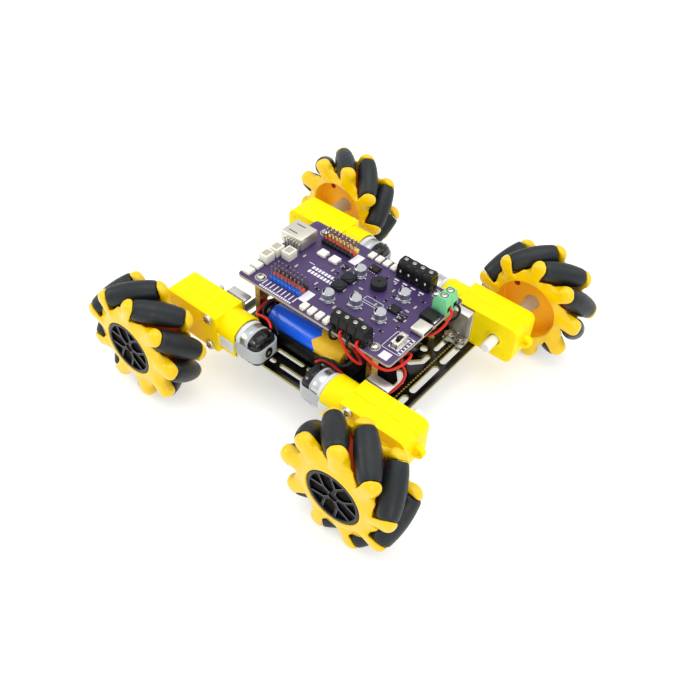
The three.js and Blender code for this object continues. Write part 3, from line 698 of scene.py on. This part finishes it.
def motor_mesh():
    piece = Piece()
    can_end, cap_end, half_strap = -45.4, -51.6, 3.9
    add_bar(piece, [flattened(9.9, 7.5)], -37.8, 37.8 - 26, CAN, 0.2)
    add_bar(piece, [flattened(10.3, 8.1), flattened(9.4, 7.1)], -40.2, 2.4, STRAP, 0.6, 3)
    add_bar(piece, [flattened(9.9, 7.5)], can_end, 6, CAN, 0.5, 2)
    add_bar(piece, [flattened(10.05, 7.65), flattened(9.4, 7.1)], can_end, 1.4, STRAP_DARK, 0.3, 2)
    add_bar(piece, [flattened(9.6, 7.3)], cap_end, 9, END_CAP, 3.4, 6)
    piece.add(sheet([motor_strap(cap_end)], 2 * half_strap, 0.3, 2), STRAP_DARK, shift(0, 0, -half_strap))
    face = cap_end - 1.03
    # A near black oval on the cap's face, painted shade of the recess round the boss
    oval = moved(disc(2.5, 0, 0.45, 32), Matrix.Diagonal((1, 1.3, 1, 1)))
    piece.add(oval, HOLE_SHADE_AND_PRINT, along((face + 0.4, 0, 0), (-1, 0, 0)))
    piece.add(rod((face + 0.5, 0, 0), (face - 0.35, 0, 0), 1.8, 0.3), END_CAP)
    piece.add(rod((face + 0.5, 0, 0), (face - 0.45, 0, 0), 0.9, 0.1), STEEL)
    for z in (-9.2, 9.2):  # the vents on both round sides of the cap
        piece.box(CHIP, (-49.6, -0.45, z - 0.6), (-45.6, 0.45, z + 0.5), 0.15, 1)
        piece.box(CHIP, (-47.9, -2.4, z - 0.6), (-47.1, 2.4, z + 0.5), 0.15, 1)
    for y in (-5.6, 5.6):  # solder tabs
        piece.box(PIN_DARK, (-49, y - 0.4, 6.6), (-47.4, y + 0.4, 8.4), 0.2, 2)
    return piece.mesh("motor")


def bracket_mesh(inner):
    """The channel between gearbox and plate. inner is the Y side of the gearbox that faces the chassis."""
    piece = Piece()
    face, sheet_mm = 9.7, 1.2
    back, front = -26, -13.4
    foot, top = PLATE_TOP + 0.3 - AXLE_Z, 10.8

    def panel(far, low, high):
        piece.box(SHEET, (back, inner * face, low), (front, inner * far, high), 0.35, 3)

    panel(face + sheet_mm, foot, top)
    panel(face + 7.2, foot, foot + sheet_mm)
    panel(face + 6, top - sheet_mm, top)
    for z, past, threads in ((-SCREW_Z, 0.4, 0), (SCREW_Z, 3.4, 5)):
        end = inner * (face + sheet_mm + past)
        piece.add(rod((SCREW_X, -inner * face, z), (SCREW_X, end, z), 1.45, 0.2, 20), STEEL)
        for thread in range(threads):
            y = inner * (face + sheet_mm + 0.5 + thread * 0.6)
            ring = turned([(1.3, -0.18), (1.62, 0), (1.3, 0.18)], 20, loop=True)
            piece.add(ring, STEEL, along((SCREW_X, y, z), (0, 1, 0)))
        screw(piece, (SCREW_X, -inner * 9.45, z), (0, -inner, 0))
    under = PLATE_BOTTOM - AXLE_Z
    for x in (-23.2, -16.6):
        y = inner * 14.2
        piece.add(rod((x, y, under - 0.2), (x, y, foot + sheet_mm + 3.4), 1.45, 0.2, 20), STEEL)
        nut(piece, (x, y, foot + sheet_mm))
        screw(piece, (x, y, under), (0, 0, -1))
    return piece.mesh("bracket")


def make_gear_motors():
    gearbox, motor = gearbox_mesh(), motor_mesh()
    brackets = {side: bracket_mesh(side) for side in (-1, 1)}
    for name, (forward, left, _, _) in CORNERS.items():
        place = shift(forward * WHEEL_BASE / 2, left * MOTOR_TRACK / 2, AXLE_Z)
        place = place @ spin(0 if forward > 0 else 180)
        parts = [("gearbox_shell", gearbox, "yellow_gearbox", "gearbox"),
                 ("motor_unit", motor, "motor_steel", "motor"),
                 ("bracket_sheet", brackets[-left * forward], "bracket_aluminium", "motor_bracket")]
        for title, data, paint, node in parts:
            put(f"{title}_{name}", data, "chassis", [f"{node}_{name}"], place)


# Base plate

BEND = [(40.6, 14.4), (40.6, 10.4), (40.1, 9.6), (35.9, 5.0), (36.0, 3.6), (37.2, 2.7), (38.4, 2.9),
        (42.9, 8.0), (43.4, 9.3), (43.4, 14.4), (42.7, 15.4), (41.3, 15.4)]


def make_base_plate():
    outlines = [rounded_rectangle(-55.5, -47, 55.5, 47, 3)]
    for a in (-1, 1):
        outlines.append(slot((a * 49.9, -10), (a * 49.9, 10), 3.6))
        outlines.append(slot((-9.3, a * 41.4), (9.3, a * 41.4), 2.4))
        for b in (-1, 1):
            outlines += [
                slot((a * 49.9, b * 16.3), (a * 49.9, b * 29.7), 3.6),
                slot((a * 42, b * 21.4), (a * 42, b * 30), 2.8),
                slot((b * 2.1, a * 34), (b * 17.9, a * 34), 2.3),
                slot((b * 14.7, a * 41.4), (b * 29.8, a * 41.4), 2.4),
                [(a * x, b * y) for x, y in BEND],
                circle(a * 37, b * 17.5, 2.1),
            ]
    piece = Piece()
    piece.add(sheet(outlines, PLATE_THICKNESS, 0.12), PLATE, shift(0, 0, PLATE_BOTTOM), side=PLATE_EDGE)
    for x in (-46.1, 46.1):  # a fine gilt rule along each end
        for i in range(34):
            y = -33 + i * 2
            dash = box((x - 0.4, y, PLATE_TOP - 0.02), (x + 0.4, y + 1.3, PLATE_TOP + 0.03), 0)
            piece.add(dash, PLATE_RULE)
    fix(piece, "plate_laminate", "plate_black", "base_plate")


# Circuit board

TERMINAL_X, TERMINAL_PITCH = 21.35, 5.08
SWITCH_X, SWITCH_Y = 41.8, -15.5


def above(x, y, height=0.0):
    """A place over the board's top."""
    return shift(x, y, BOARD_TOP + height)


def on_board(x, y, length, width, height, bevel=0.15, base=0.0, segments=2):
    return box((x - length / 2, y - width / 2, BOARD_TOP + base),
               (x + length / 2, y + width / 2, BOARD_TOP + height), bevel, segments)


def printed(piece, x0, y0, x1, y1):
    piece.box(PRINT, (x0, y0, BOARD_TOP - 0.02), (x1, y1, BOARD_TOP + 0.04), 0)


def frame_print(piece, x0, y0, x1, y1, line=0.3):
    for sides in ((x0, y0, x1, y0 + line), (x0, y1 - line, x1, y1),
                  (x0, y0, x0 + line, y1), (x1 - line, y0, x1, y1)):
        printed(piece, *sides)


def pin_header(piece, rows):
    """Rows of square pins, each row in its own colour of housing."""
    x, columns, pitch = -24.4, 8, 2.54
    for y, colour in rows:
        for column in range(columns):
            at = x + (column - (columns - 1) / 2) * pitch
            piece.add(on_board(at, y, pitch - 0.06, pitch - 0.06, 2.5, 0.35, 0.0, 1), HEADER[colour])
            piece.add(on_board(at, y, 0.64, 0.64, 8.5, 0.12, 2.3, 1), PIN if y > 0 else PIN_DARK)


def screw_terminal(piece, side):
    """A black four way terminal block at a long edge; side is the Y direction its wire entries face."""
    ways, outer = 4, side * 30.2
    inner = outer - side * 8
    half = TERMINAL_PITCH / 2 - 0.02
    outline = [(0, 0), (8, 0), (8, 5.2), (7.3, 8.6), (6.7, 9.7), (5.8, 10), (2.5, 10), (1.5, 9.6),
               (0.8, 8.6), (0, 6.4)]
    for way in range(ways):
        at = TERMINAL_X + (way - (ways - 1) / 2) * TERMINAL_PITCH
        turn = Matrix(((0, 0, 1, at - half), (side, 0, 0, inner), (0, 1, 0, BOARD_TOP), (0, 0, 0, 1)))
        piece.add(sheet([outline], 2 * half, 0.35, 2), TERMINAL, turn)
        # The wire entry is a near black box, painted shade of the opening
        piece.add(box((at - 1.5, outer - side * 0.4, BOARD_TOP + 1.4),
                      (at + 1.5, outer + side * 0.06, BOARD_TOP + 4.9), 0.1, 1), HOLE_SHADE_AND_PRINT)
        y = outer - side * 3.6
        well = turned([(1.7, 0), (2.15, 0), (2.15, 0.75), (1.7, 0.75)], 24, loop=True)
        piece.add(well, TERMINAL, along((at, y, BOARD_TOP + 9.3)))
        screw(piece, (at, y, BOARD_TOP + 9.55), UP, 1.7, 0.5, turns=(25,))
        dot, far = inner - side * 0.05, inner + side * 0.25
        piece.box(WHITE, (at - 0.45, dot, BOARD_TOP + 4), (at + 0.45, far, BOARD_TOP + 5.4), 0.05, 1)
    for end in (-1, 1):
        edge = TERMINAL_X + end * ways * TERMINAL_PITCH / 2
        piece.add(box((edge - 0.3, outer - side * 0.5, BOARD_TOP),
                      (edge + 0.3, inner + side * 0.5, BOARD_TOP + 6.8), 0.2), TERMINAL)


def power_terminal(piece):
    """The green block at the front edge, its two wire entries facing forward."""
    outline = [(39.1, 0), (47.5, 0), (47.5, 5.0), (46.1, 10), (41.4, 10), (39.1, 6.2)]
    for y in (16.86, 21.94):
        piece.add(sheet([outline], 5.04, 0.22), GREEN, above(0, y + 2.52) @ SIDE_ON)
        # The wire entry and the ring round the screw are near black patches of painted shade
        piece.box(HOLE_SHADE_AND_PRINT, (47.1, y - 1.5, BOARD_TOP + 1.4), (47.56, y + 1.5, BOARD_TOP + 4.8), 0.1, 1)
        piece.add(disc(2.0, 0, 0.06), HOLE_SHADE_AND_PRINT, along((43.7, y, BOARD_TOP + 9.98)))
        screw(piece, (43.7, y, BOARD_TOP + 9.95), UP, 1.6, 0.45, turns=(60,))


def capacitor(piece, x, y):
    base = [(-3.15, -3.15), (1.9, -3.15), (3.15, -1.9), (3.15, 1.9), (1.9, 3.15), (-3.15, 3.15)]
    piece.add(sheet([base], 0.9, 0.15), ALUMINIUM, above(x, y))
    can = [(0, 0.8), (3.0, 0.8), (3.15, 1.0), (3.15, 1.7), (2.95, 1.95), (3.15, 2.2), (3.15, 5.3),
           (2.9, 5.6), (0, 5.6)]
    piece.add(turned(can, 36), ALUMINIUM, along((x, y, BOARD_TOP)))
    piece.add(disc(2.75, 5.5, 5.64, 36), ALUMINIUM, along((x, y, BOARD_TOP)))
    mark = arc(0, 0, 2.75, -50, 50, 10)
    piece.add(sheet([mark], 0.08, 0.01), HOLE_SHADE_AND_PRINT, above(x, y, 5.6) @ spin(200))
    for side in (-1, 1):
        piece.on_board(PAD, x + side * 3.5, y, 1.2, 0.9, 0.3, 0.05)


def chip(piece, x, y, length, width, height, legs, pitch=1.27, along_x=False):
    """A black chip with legs on two opposite sides, in Y or along X, and a dot at its first leg."""
    piece.on_board(CHIP, x, y, length, width, height, 0.2, 0.1)
    dot = (x - length / 2 + 1, y - width / 2 + 1, BOARD_TOP + height)
    piece.add(disc(0.4, 0, 0.03, 16), PAD, along(dot))
    for i in range(legs):
        offset = (i - (legs - 1) / 2) * pitch
        for side in (-1, 1):
            if along_x:
                leg = on_board(x + side * (length / 2 + 0.5), y + offset, 1.2, 0.5, 0.45, 0.08)
            else:
                leg = on_board(x + offset, y + side * (width / 2 + 0.5), 0.5, 1.2, 0.45, 0.08)
            piece.add(leg, PAD)


# Resistors and ceramic capacitors between the large parts: place, and 1 for a resistor's black body
SMALL_PARTS = [
    (-15, 3.5, 0), (-12.2, 3.5, 1), (-10.5, 8.5, 0), (-9.5, -1, 1), (4.5, 2.2, 0), (4.5, -1.5, 0),
    (13.5, 1.6, 1), (17.3, -2.4, 0), (19, 3.6, 1), (31.6, 4.4, 0), (33.4, 1.2, 1), (31.2, -4.6, 0),
    (35, -7.8, 1), (5, 15, 0), (9, 17.6, 1), (15, 17.4, 0), (18.6, -15.2, 0), (30.5, -15, 1),
    (33, 9.4, 0), (-33.6, -9.6, 1), (-31, -6.6, 0), (-33.4, 2.4, 0), (-14.6, -10, 0), (-11.6, -12.6, 1),
    (3.6, -17.4, 0), (20, 8.4, 1), (17.6, 12, 0), (33.4, 15.6, 1),
]


def small_parts(piece):
    for x, y, black in SMALL_PARTS:
        crosswise = (x * 7 + y * 3) % 2 > 1
        length, width = (1.0, 2.0) if crosswise else (2.0, 1.0)
        piece.add(on_board(x, y, length, width, 0.6, 0.08), CHIP if black else BOARD_EDGE_AND_MOUTH_SHADE)
        for side in (-1, 1):
            dx, dy = (0, side) if crosswise else (side, 0)
            end, span = (0.9, 0.5) if crosswise else (0.5, 0.9)
            piece.on_board(PAD, x + dx, y + dy, end, span, 0.55, 0.06)


def white_socket(piece, x, y):
    """A small white wire-to-board socket whose mouth is a flat darker patch on top, painted shade of the
    recess.
    """
    length, width, height, wall = 5.6, 6.2, 5, 0.9
    piece.on_board(WHITE, x, y, length, width, height, 0.25)
    # The mouth is a flat patch in the darker edge colour, painted shade of the recess
    mouth = on_board(x, y, length - 2 * wall, width - 2 * wall, height + 0.03, 0, height - 0.05)
    piece.add(mouth, BOARD_EDGE_AND_MOUTH_SHADE)
    piece.on_board(PAD, x, y, length * 0.5, 0.5, height + 0.1, 0.05, height - 0.4)


def printed_marks(piece):
    """Plain lines, ticks, blocks and frames."""
    for i in range(9):  # comb beside the near pin header
        x = -34.6 + i * 2.54
        printed(piece, x - 0.3, -28.1, x + 0.3, -23.9)
    for i in range(16):
        x = -35.1 + i * 1.32
        printed(piece, x, -29.9, x + 0.85, -28.7)
    printed(piece, -14.2, -24.4, -9.4, -16.2)
    printed(piece, -14.0, 14.6, -9.2, 22.8)
    frame_print(piece, 36.4, -22.4, 47.0, -9.2)
    for i in range(6):
        y = -21.2 + i * 2.2
        printed(piece, 45.2, y, 46.6, y + 0.8)
    for y in (-2.2, -5.6):  # two rows of blocks across the middle
        for i in range(8):
            x = -24.5 + i * 2.05
            printed(piece, x, y, x + 1.4, y + 2.2)
    printed(piece, -28.5, 0.6, -25.0, 1.0)
    frame_print(piece, 9.8, -2.8, 20.6, 0.6, 0.25)
    printed(piece, 8.2, -4.3, 19.4, -4.0)
    for x in (11.2, 16.3, 21.4, 26.5):
        for side in (-1, 1):
            y, tick = side * 20.3, side * 18.4
            printed(piece, x + 0.9, y - 0.5, x + 3.6, y + 0.5)
            printed(piece, x + 1.6, tick - 0.3, x + 2.8, tick + 0.3)
    for x, y in POSTS:
        piece.add(sheet([circle(x, y, 3, 32), circle(x, y, 2.5, 32)], 0.05, 0), PAD, above(0, 0, -0.01))


def board_laminate():
    """The board itself on its standoffs, with a screw at both ends of each."""
    piece = Piece()
    holes = [circle(x, y, 1.7) for x, y in POSTS]
    holes += [circle(39.4, -28.0, 0.7, 16), circle(-36, 28.2, 0.6, 16)]
    board = sheet([rounded_rectangle(-49.5, -30.5, 47.5, 30.5, 2), *holes], BOARD_TOP - BOARD_BOTTOM, 0.1)
    piece.add(board, BOARD, shift(0, 0, BOARD_BOTTOM), side=BOARD_EDGE_AND_MOUTH_SHADE)
    post = [(0, PLATE_TOP), (3.2, PLATE_TOP), (3.2, 49.5), (2.8, 49.97), (0, 49.97)]
    for x, y in POSTS:
        piece.add(turned(post, 6), BRASS, shift(x, y, 0))
        screw(piece, (x, y, BOARD_TOP), UP, 2.35, 1.6)
        screw(piece, (x, y, PLATE_BOTTOM), (0, 0, -1), 2.75, 1.9)
    fix(piece, "board_laminate", "board_purple", "circuit_board")


def board_connectors():
    piece = Piece()
    pin_header(piece, [(-22.0, "blue"), (-19.46, "red"), (-16.92, "black")])
    pin_header(piece, [(23.04, "yellow"), (20.5, "red"), (17.96, "black")])
    screw_terminal(piece, -1)
    screw_terminal(piece, 1)
    power_terminal(piece)
    fix(piece, "board_connectors", "black_plastic")


def board_parts():
    """Capacitors, buzzer, coils, chips, lights, test buttons and white sockets."""
    piece = Piece()
    for x, y in ((-2.5, 10), (25, 10.5), (10, -9), (25, -9), (-2.5, -15)):
        capacitor(piece, x, y)
    buzzer = [(0, 0), (4.1, 0), (4.3, 0.3), (4.3, 3.6), (4.0, 4), (0.9, 4), (0.7, 3.5), (0, 3.5)]
    piece.add(turned(buzzer, 40), COIL, along((10, 9.5, BOARD_TOP)))
    x = -4.6
    for y in (-4.2, 3.6):
        body = sheet([rounded_rectangle(x - 3.5, y - 3.4, x + 3.5, y + 3.4, 1.6)], 2.2, 0.4)
        piece.add(body, COIL, above(0, 0, 0.1))
        crown = turned([(0, 0), (2.9, 0), (2.9, 0.5), (2.6, 0.8), (0, 0.8)], 32)
        piece.add(crown, COIL, along((x, y, BOARD_TOP + 2.2)))
        for side in (-1, 1):
            piece.on_board(PAD, x + side * 3.7, y, 0.9, 2.6, 0.5, 0.1)
    chip(piece, 0.3, 19, 5.4, 4.6, 1.4, 4)
    chip(piece, 26.5, 1, 5.4, 5.0, 1.6, 2, 2.3, along_x=True)
    chip(piece, 32.8, -1.8, 3, 3, 0.9, 3, 0.65, along_x=True)
    chip(piece, -11.5, 9.5, 3, 3, 1.0, 3, 0.95, along_x=True)
    piece.on_board(CHIP, 42, 8.6, 7.4, 7.4, 2.9, 0.4)
    piece.on_board(PAD, 46.0, 8.6, 1.6, 5.0, 0.6, 0.1)
    small_parts(piece)
    y = 10.3
    for x in (-27.4, -19.5):
        piece.on_board(WHITE, x, y, 5, 5, 1.5, 0.2)
        window = turned([(0, 0), (1.9, 0), (1.6, 0.12), (0, 0.12)], 28)
        piece.add(window, LENS, along((x, y, BOARD_TOP + 1.48)))
        for dx in (-2.5, 2.5):
            for dy in (-1.6, 1.6):
                piece.on_board(PAD, x + dx, y + dy, 0.9, 1.0, 0.35, 0.06)
    for side in (-1, 1):
        for i in range(4):
            x, y = -7.4 + i * 4.9, side * 26.6
            piece.on_board(WHITE, x, y, 3.5, 4.6, 1.5, 0.35)
            piece.on_board(LENS, x, y, 1.9, 2.4, 2.0, 0.3, 1.2)
            piece.on_board(PAD, x, y + side * 2.6, 2.6, 0.7, 0.3, 0.05)
    for y in (-26, -20):
        piece.on_board(WHITE, -46, y, 5.2, 4.8, 1.9, 0.3)
    for x, y in ((-45.6, -13), (-45.6, -5.5), (-38.6, -3.6)):
        white_socket(piece, x, y)
    piece.on_board(PRINT, 41.8, -26.2, 5, 5, 0.12, 0.02)
    printed(piece, 38.9, -20.4, 44.7, -10.6)
    fix(piece, "board_parts", "black_plastic")


def board_metalwork():
    """The USB-C shell, the slide switch's frame and the print."""
    piece = Piece()
    usb_c = sheet([rounded_rectangle(-4.5, 0, 4.5, 3.2, 1.4, 5)], 7.4, 0.2)
    piece.add(usb_c, SOCKET, above(40.9, -1.4) @ END_ON)
    # The mouth of the USB-C socket is a near black sheet, painted shade of the opening
    piece.box(HOLE_SHADE_AND_PRINT, (48.15, -5.0, BOARD_TOP + 0.7), (48.34, 2.2, BOARD_TOP + 2.5), 0)
    x, y = SWITCH_X, SWITCH_Y
    for side in (-1, 1):
        piece.on_board(SOCKET, x + side * 1.5, y, 1.0, 9, 3.4, 0.15)
        piece.on_board(SOCKET, x, y + side * 3.45, 3.9, 2.1, 3.35, 0.15)
        piece.on_board(PAD, x + side * 2.3, y, 1.0, 5.6, 0.35, 0.05)
    piece.on_board(CHIP, x, y, 2.4, 6, 1.9, 0.05)
    printed_marks(piece)
    fix(piece, "board_metalwork", "socket_steel")


def make_usb_socket():
    """The folded steel shell, open towards the back, with its contact tongue, side tabs and bent legs."""
    piece = Piece()
    back, front, y, half, low, high = -51, -37, 10.2, 6.55, BOARD_TOP + 0.3, BOARD_TOP + 7.5
    wall = 0.5
    outside = rounded_rectangle(y - half, low, y + half, high, 0.7, 4)
    inside = rounded_rectangle(y - half + wall, low + wall, y + half - wall, high - wall, 0.5, 4)
    add_bar(piece, [outside, inside], back, front - back - 0.4, SOCKET, 0.1)
    piece.box(SOCKET, (front - 0.7, y - half + 0.2, low + 0.1), (front, y + half - 0.2, high - 0.1), 0.2)
    piece.box(WHITE, (back + 1.5, y - 5, high - 2.2), (front - 0.6, y + 5, high - 0.7), 0.2)
    for i in range(4):
        at = y - 3.5 + i * 2.33
        piece.box(PIN, (back + 2, at - 0.5, high - 2.32), (front - 3, at + 0.5, high - 2.15), 0.05, 1)
    for side in (-1, 1):  # two dark spring slots in the top, and a tab on each side
        at = y + side * 3.2
        # Each spring slot is a near black strip, painted shade of the slot
        piece.box(HOLE_SHADE_AND_PRINT, (back + 2.6, at - 0.3, high - 0.05), (back + 8.4, at + 0.3, high + 0.03), 0)
        at = y + side * half
        piece.box(SOCKET, (-44.6, at - 0.25, BOARD_TOP), (-42.8, at + 0.35, BOARD_TOP + 3), 0.1, 1)
    fix(piece, "usb_shell", "socket_steel", "usb_socket")
    piece = Piece()
    for i in range(6):  # the row of bent legs beside the socket
        at = -47.2 + i * 1.9
        for reach, base in ((2.5, 0), (3.6, 4.8)):
            leg = box((at - 0.45, 1.9, BOARD_TOP + base), (at + 0.45, reach, BOARD_TOP + 5.4), 0.12, 1)
            piece.add(leg, SOCKET)
    fix(piece, "usb_legs", "socket_steel")


def make_switch_knob():
    name = "power_switch_knob"
    low, high = (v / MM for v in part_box(name))
    piece = Piece()
    piece.box(HOLDER, low, high, 0.18)
    for i in range(3):
        y = low.y + 0.5 + i * 0.5
        rib = box((low.x + 0.1, y - 0.08, high.z - 0.05), (high.x - 0.1, y + 0.08, high.z + 0.04), 0.03, 1)
        piece.add(rib, CHIP)
    put("switch_knob", piece.mesh("switch_knob"), name, [name])


# Battery

TRAY_BACK, TRAY_FRONT, TRAY_HALF, TRAY_BASE = -35.2, 22.8, 31.3, PLATE_TOP + 0.05


def zigzag(angle):
    """Where the gold part of a cell's wrap starts, along the cell: five points round it."""
    return 29.2 + 3.4 * abs((angle * 5 / (2 * pi)) % 1 * 2 - 1)


def sleeve(inner, outer, start, end, segments=60):
    """A thin tube about Z whose lower edge is at start(angle)."""
    shape = bmesh.new()
    rings = []
    for i in range(segments):
        angle = 2 * pi * i / segments
        low = start(angle)
        corners = [(inner, low), (outer, low), (outer, end), (inner, end)]
        rings.append([shape.verts.new((r * cos(angle), r * sin(angle), h)) for r, h in corners])
    for last, ring in zip([rings[-1]] + rings[:-1], rings):
        for j in range(4):
            shape.faces.new((last[j], ring[j], ring[(j + 1) % 4], last[(j + 1) % 4]))
    return shape


def make_holder():
    back, front, half, base = TRAY_BACK, TRAY_FRONT, TRAY_HALF, TRAY_BASE
    piece = Piece()

    def wall(corner, opposite, bevel=0.3, segments=2):
        piece.box(HOLDER, corner, opposite, bevel, segments)

    wall((back, -half, base), (front, half, base + 1.6))
    for side in (-1, 1):
        for x0, x1, top in ((back, back + 9, 33), (back + 9, front - 9, 29.4), (front - 9, front, 33)):
            wall((x0, side * half, base), (x1, side * (half - 1.2), top))
    for x0, x1, outside in ((back, back + 1.2, back - 0.1), (front - 1.2, front, front + 0.1)):
        wall((x0, -half, base), (x1, half, 35))
        for y in CELL_ROWS:
            for low in (y - 4, y + 3):
                wall((outside, low, base + 2), ((x0 + x1) / 2, low + 1, 34), 0.1, 1)
    for y in (-15, 0, 15):
        wall((back, y - 0.45, base), (front, y + 0.45, base + 3.7), 0.2)
    fix(piece, "holder_tray", "black_plastic", "battery_holder")


def make_cells():
    """Four cells that point in turn to the front and to the back, with the holder's contact strips."""
    piece = Piece()
    middle, z = (TRAY_BACK + TRAY_FRONT) / 2, PLATE_TOP + 9.2
    blue = [(0, 0), (6.2, 0), (6.9, 0.5), (7, 0.9), (7, 34), (6.9, 34.1)]
    gold = [(6.9, 33.8), (7.05, 33.9), (7.05, 47.6), (6.8, 48.2), (5.9, 48.5), (0, 48.5)]
    cap = [(0, 48.3), (2.7, 48.3), (2.7, 49.3), (2.4, 49.6), (0, 49.6)]
    for y, way in zip(CELL_ROWS, (1, -1, 1, -1)):
        place = along((middle - way * 24.6, y, z), (way, 0, 0))
        piece.add(turned(blue, 48), CELL_BLUE, place)
        piece.add(turned(gold, 48), CELL_GOLD, place)
        piece.add(sleeve(6.9, 7.05, zigzag, 34.2), CELL_GOLD, place @ spin(30))
        piece.add(turned(cap, 24), SPRING, place)
        for coil in range(4):
            wire = [(r + 3.2 + 0.5 * coil, h - 0.5 - 0.75 * coil) for r, h in circle(0, 0, 0.34, 8)]
            piece.add(turned(wire, 28, loop=True), SPRING, place)
    for end, low, high in ((-1, -22.5, -7.5), (1, -7.5, 7.5), (-1, 7.5, 22.5)):
        x = middle + end * 25.3
        piece.box(SPRING, (x - 0.25, low - 2.6, z - 2.6), (x + 0.25, high + 2.6, z + 2.6), 0.15, 1)
    fix(piece, "cells", "cell_wrap", "battery_cells")


# Leads: the points that each one passes through

MOTOR_LEADS = [
    [(13.7, -29.4, 55), (13.7, -31.4, 55), (13.8, -32.6, 53.4), (14, -32.8, 50.6), (14.2, -31, 47.6),
     (13.2, -26.4, 44.6), (8, -22.2, 42.8), (2, -20.9, 41.6), (-16, -20.6, 41.8), (-28, -22, 41.4),
     (-31.2, -26.4, 40.6), (-31, -31, 38.6), (-28.4, -33.6, 37.6), (-23, -34.9, 38.6), (-17, -36.8, 38.4),
     (-14.6, -38.1, 36.6)],
    [(18.8, -29.4, 55), (18.8, -31.4, 55), (19.8, -32.6, 54.2), (21.8, -33.4, 52.4), (24, -34, 50.4),
     (27, -34.4, 47.8), (30.4, -33.6, 45.4), (32, -31.2, 43), (30, -28.6, 41.2), (25, -25.4, 40.6),
     (16, -21.6, 40.3), (2, -20.6, 40.2), (-16, -20.4, 39.8), (-27, -21.2, 39.4), (-33.2, -24.6, 38.9),
     (-34.1, -30.4, 37), (-32.2, -34.8, 37.2), (-27, -36.4, 40), (-21, -38, 41.4), (-17.4, -39.9, 40.4)],
    [(23.9, -29.4, 55), (23.9, -31.4, 55), (24.2, -32.4, 53.2), (24.3, -32.6, 50.4), (25.6, -30.8, 47.4),
     (25.6, -29.6, 44.6), (26.8, -32, 40.8), (24.4, -34.4, 38.6), (19, -35, 38), (13, -35.8, 37.2),
     (8.8, -37.4, 36.4)],
    [(28.9, -29.4, 55), (28.9, -31.4, 55), (29.8, -32.6, 53.9), (32.2, -33, 52.6), (36, -33, 51.2),
     (40, -32.9, 50), (43.6, -32.2, 49.2), (46.8, -30.4, 48.6), (49, -26, 48.4), (49.8, -20.6, 48.4),
     (49.3, -16, 48.2), (47.4, -13.8, 47.2), (45.4, -14.6, 46.2), (45.2, -17.4, 45), (47.2, -19, 43.4),
     (49.8, -19.8, 41), (50.6, -21.4, 38.2), (49.8, -24.6, 35), (48, -29, 32.6), (44, -32.6, 31),
     (38, -33.2, 30), (30, -34.2, 31), (21, -34.9, 34.4), (13, -35.7, 35.8), (9.4, -37.4, 33.4)],
]
BATTERY_LEADS = [
    [(46.9, 21.9, 55), (48.4, 21.9, 55), (50, 21.9, 54.4), (51, 21.4, 52.4), (50.8, 20.6, 49.6),
     (48.6, 19, 46), (44, 16.4, 39.4), (36, 8, 34.6), (31.5, 4.5, 32.2), (28, 4.4, 30.8),
     (25.4, 6.6, 29.8), (23.1, 8, 29.4)],
    [(46.9, 16.9, 55), (48.4, 16.9, 55), (49.6, 16.2, 54), (50, 13.4, 52.2), (49.8, 11.2, 50),
     (49, 8.4, 48), (47.6, 5.4, 46.6), (44, 3.4, 44.4), (37, 2.9, 38.4), (31.5, 3.4, 32.6),
     (28, 3.2, 30.8), (23.1, 4, 29.4)],
]
LEAD_RADIUS = 0.7


def make_leads(name, routes, colours, node):
    curve = bpy.data.curves.new(name, "CURVE")
    curve.dimensions, curve.resolution_u, curve.use_fill_caps = "3D", 10, True
    curve.bevel_depth, curve.bevel_resolution = LEAD_RADIUS * MM, 4
    for material in (LEAD_RED, LEAD_BLACK):
        curve.materials.append(material)
    for route, colour in zip(routes, colours):
        spline = curve.splines.new("BEZIER")
        spline.bezier_points.add(len(route) - 1)
        spline.material_index = colour
        for point, place in zip(spline.bezier_points, route):
            point.co = Vector(place) * MM
            point.handle_left_type = point.handle_right_type = "AUTO"
    put(name, curve, "chassis", [node])


# Studio

def make_studio():
    glow = FLOOR.node_tree.nodes["Principled BSDF"]
    tune(glow, {"Emission Color": (1, 1, 0.99, 1), "Emission Strength": 0.5})
    floor = bpy.data.meshes.new("floor")
    floor.from_pydata([(-4, -4, 0), (4, -4, 0), (4, 4, 0), (-4, 4, 0)], [], [(0, 1, 2, 3)])
    floor.materials.append(FLOOR)
    ground = new_object("floor", floor)
    world = bpy.data.worlds.new("studio")
    world.use_nodes = True
    tune(world.node_tree.nodes["Background"], {"Color": (1, 1, 1, 1), "Strength": 0.86})
    bpy.context.scene.world = world
    target = Vector((0, 0, 0.03))
    lights = [  # place in metres, size in metres, power in watts
        ("overhead", (0.05, 0.1, 0.95), 0.9, 4), ("left_front", (-0.75, -0.55, 0.6), 0.5, 2.6),
        ("right_front", (0.75, -0.6, 0.5), 0.4, 1.6), ("right_back", (0.7, 0.75, 0.7), 0.6, 1.2),
    ]
    for name, at, size, power in lights:
        data = bpy.data.lights.new(name, "AREA")
        data.size, data.energy = size, power
        lamp = new_object(name, data)
        lamp.matrix_world = along(at, Vector(at) - target)
    bpy.context.scene.view_settings.view_transform = "Standard"


make_wheels()
make_gear_motors()
make_base_plate()
board_laminate()
board_connectors()
board_parts()
board_metalwork()
make_usb_socket()
make_switch_knob()
make_holder()
make_cells()
make_leads("motor_leads", MOTOR_LEADS, [1, 0, 1, 0], "right_motor_leads")
make_leads("power_leads", BATTERY_LEADS, [1, 0], "battery_leads")
make_studio()
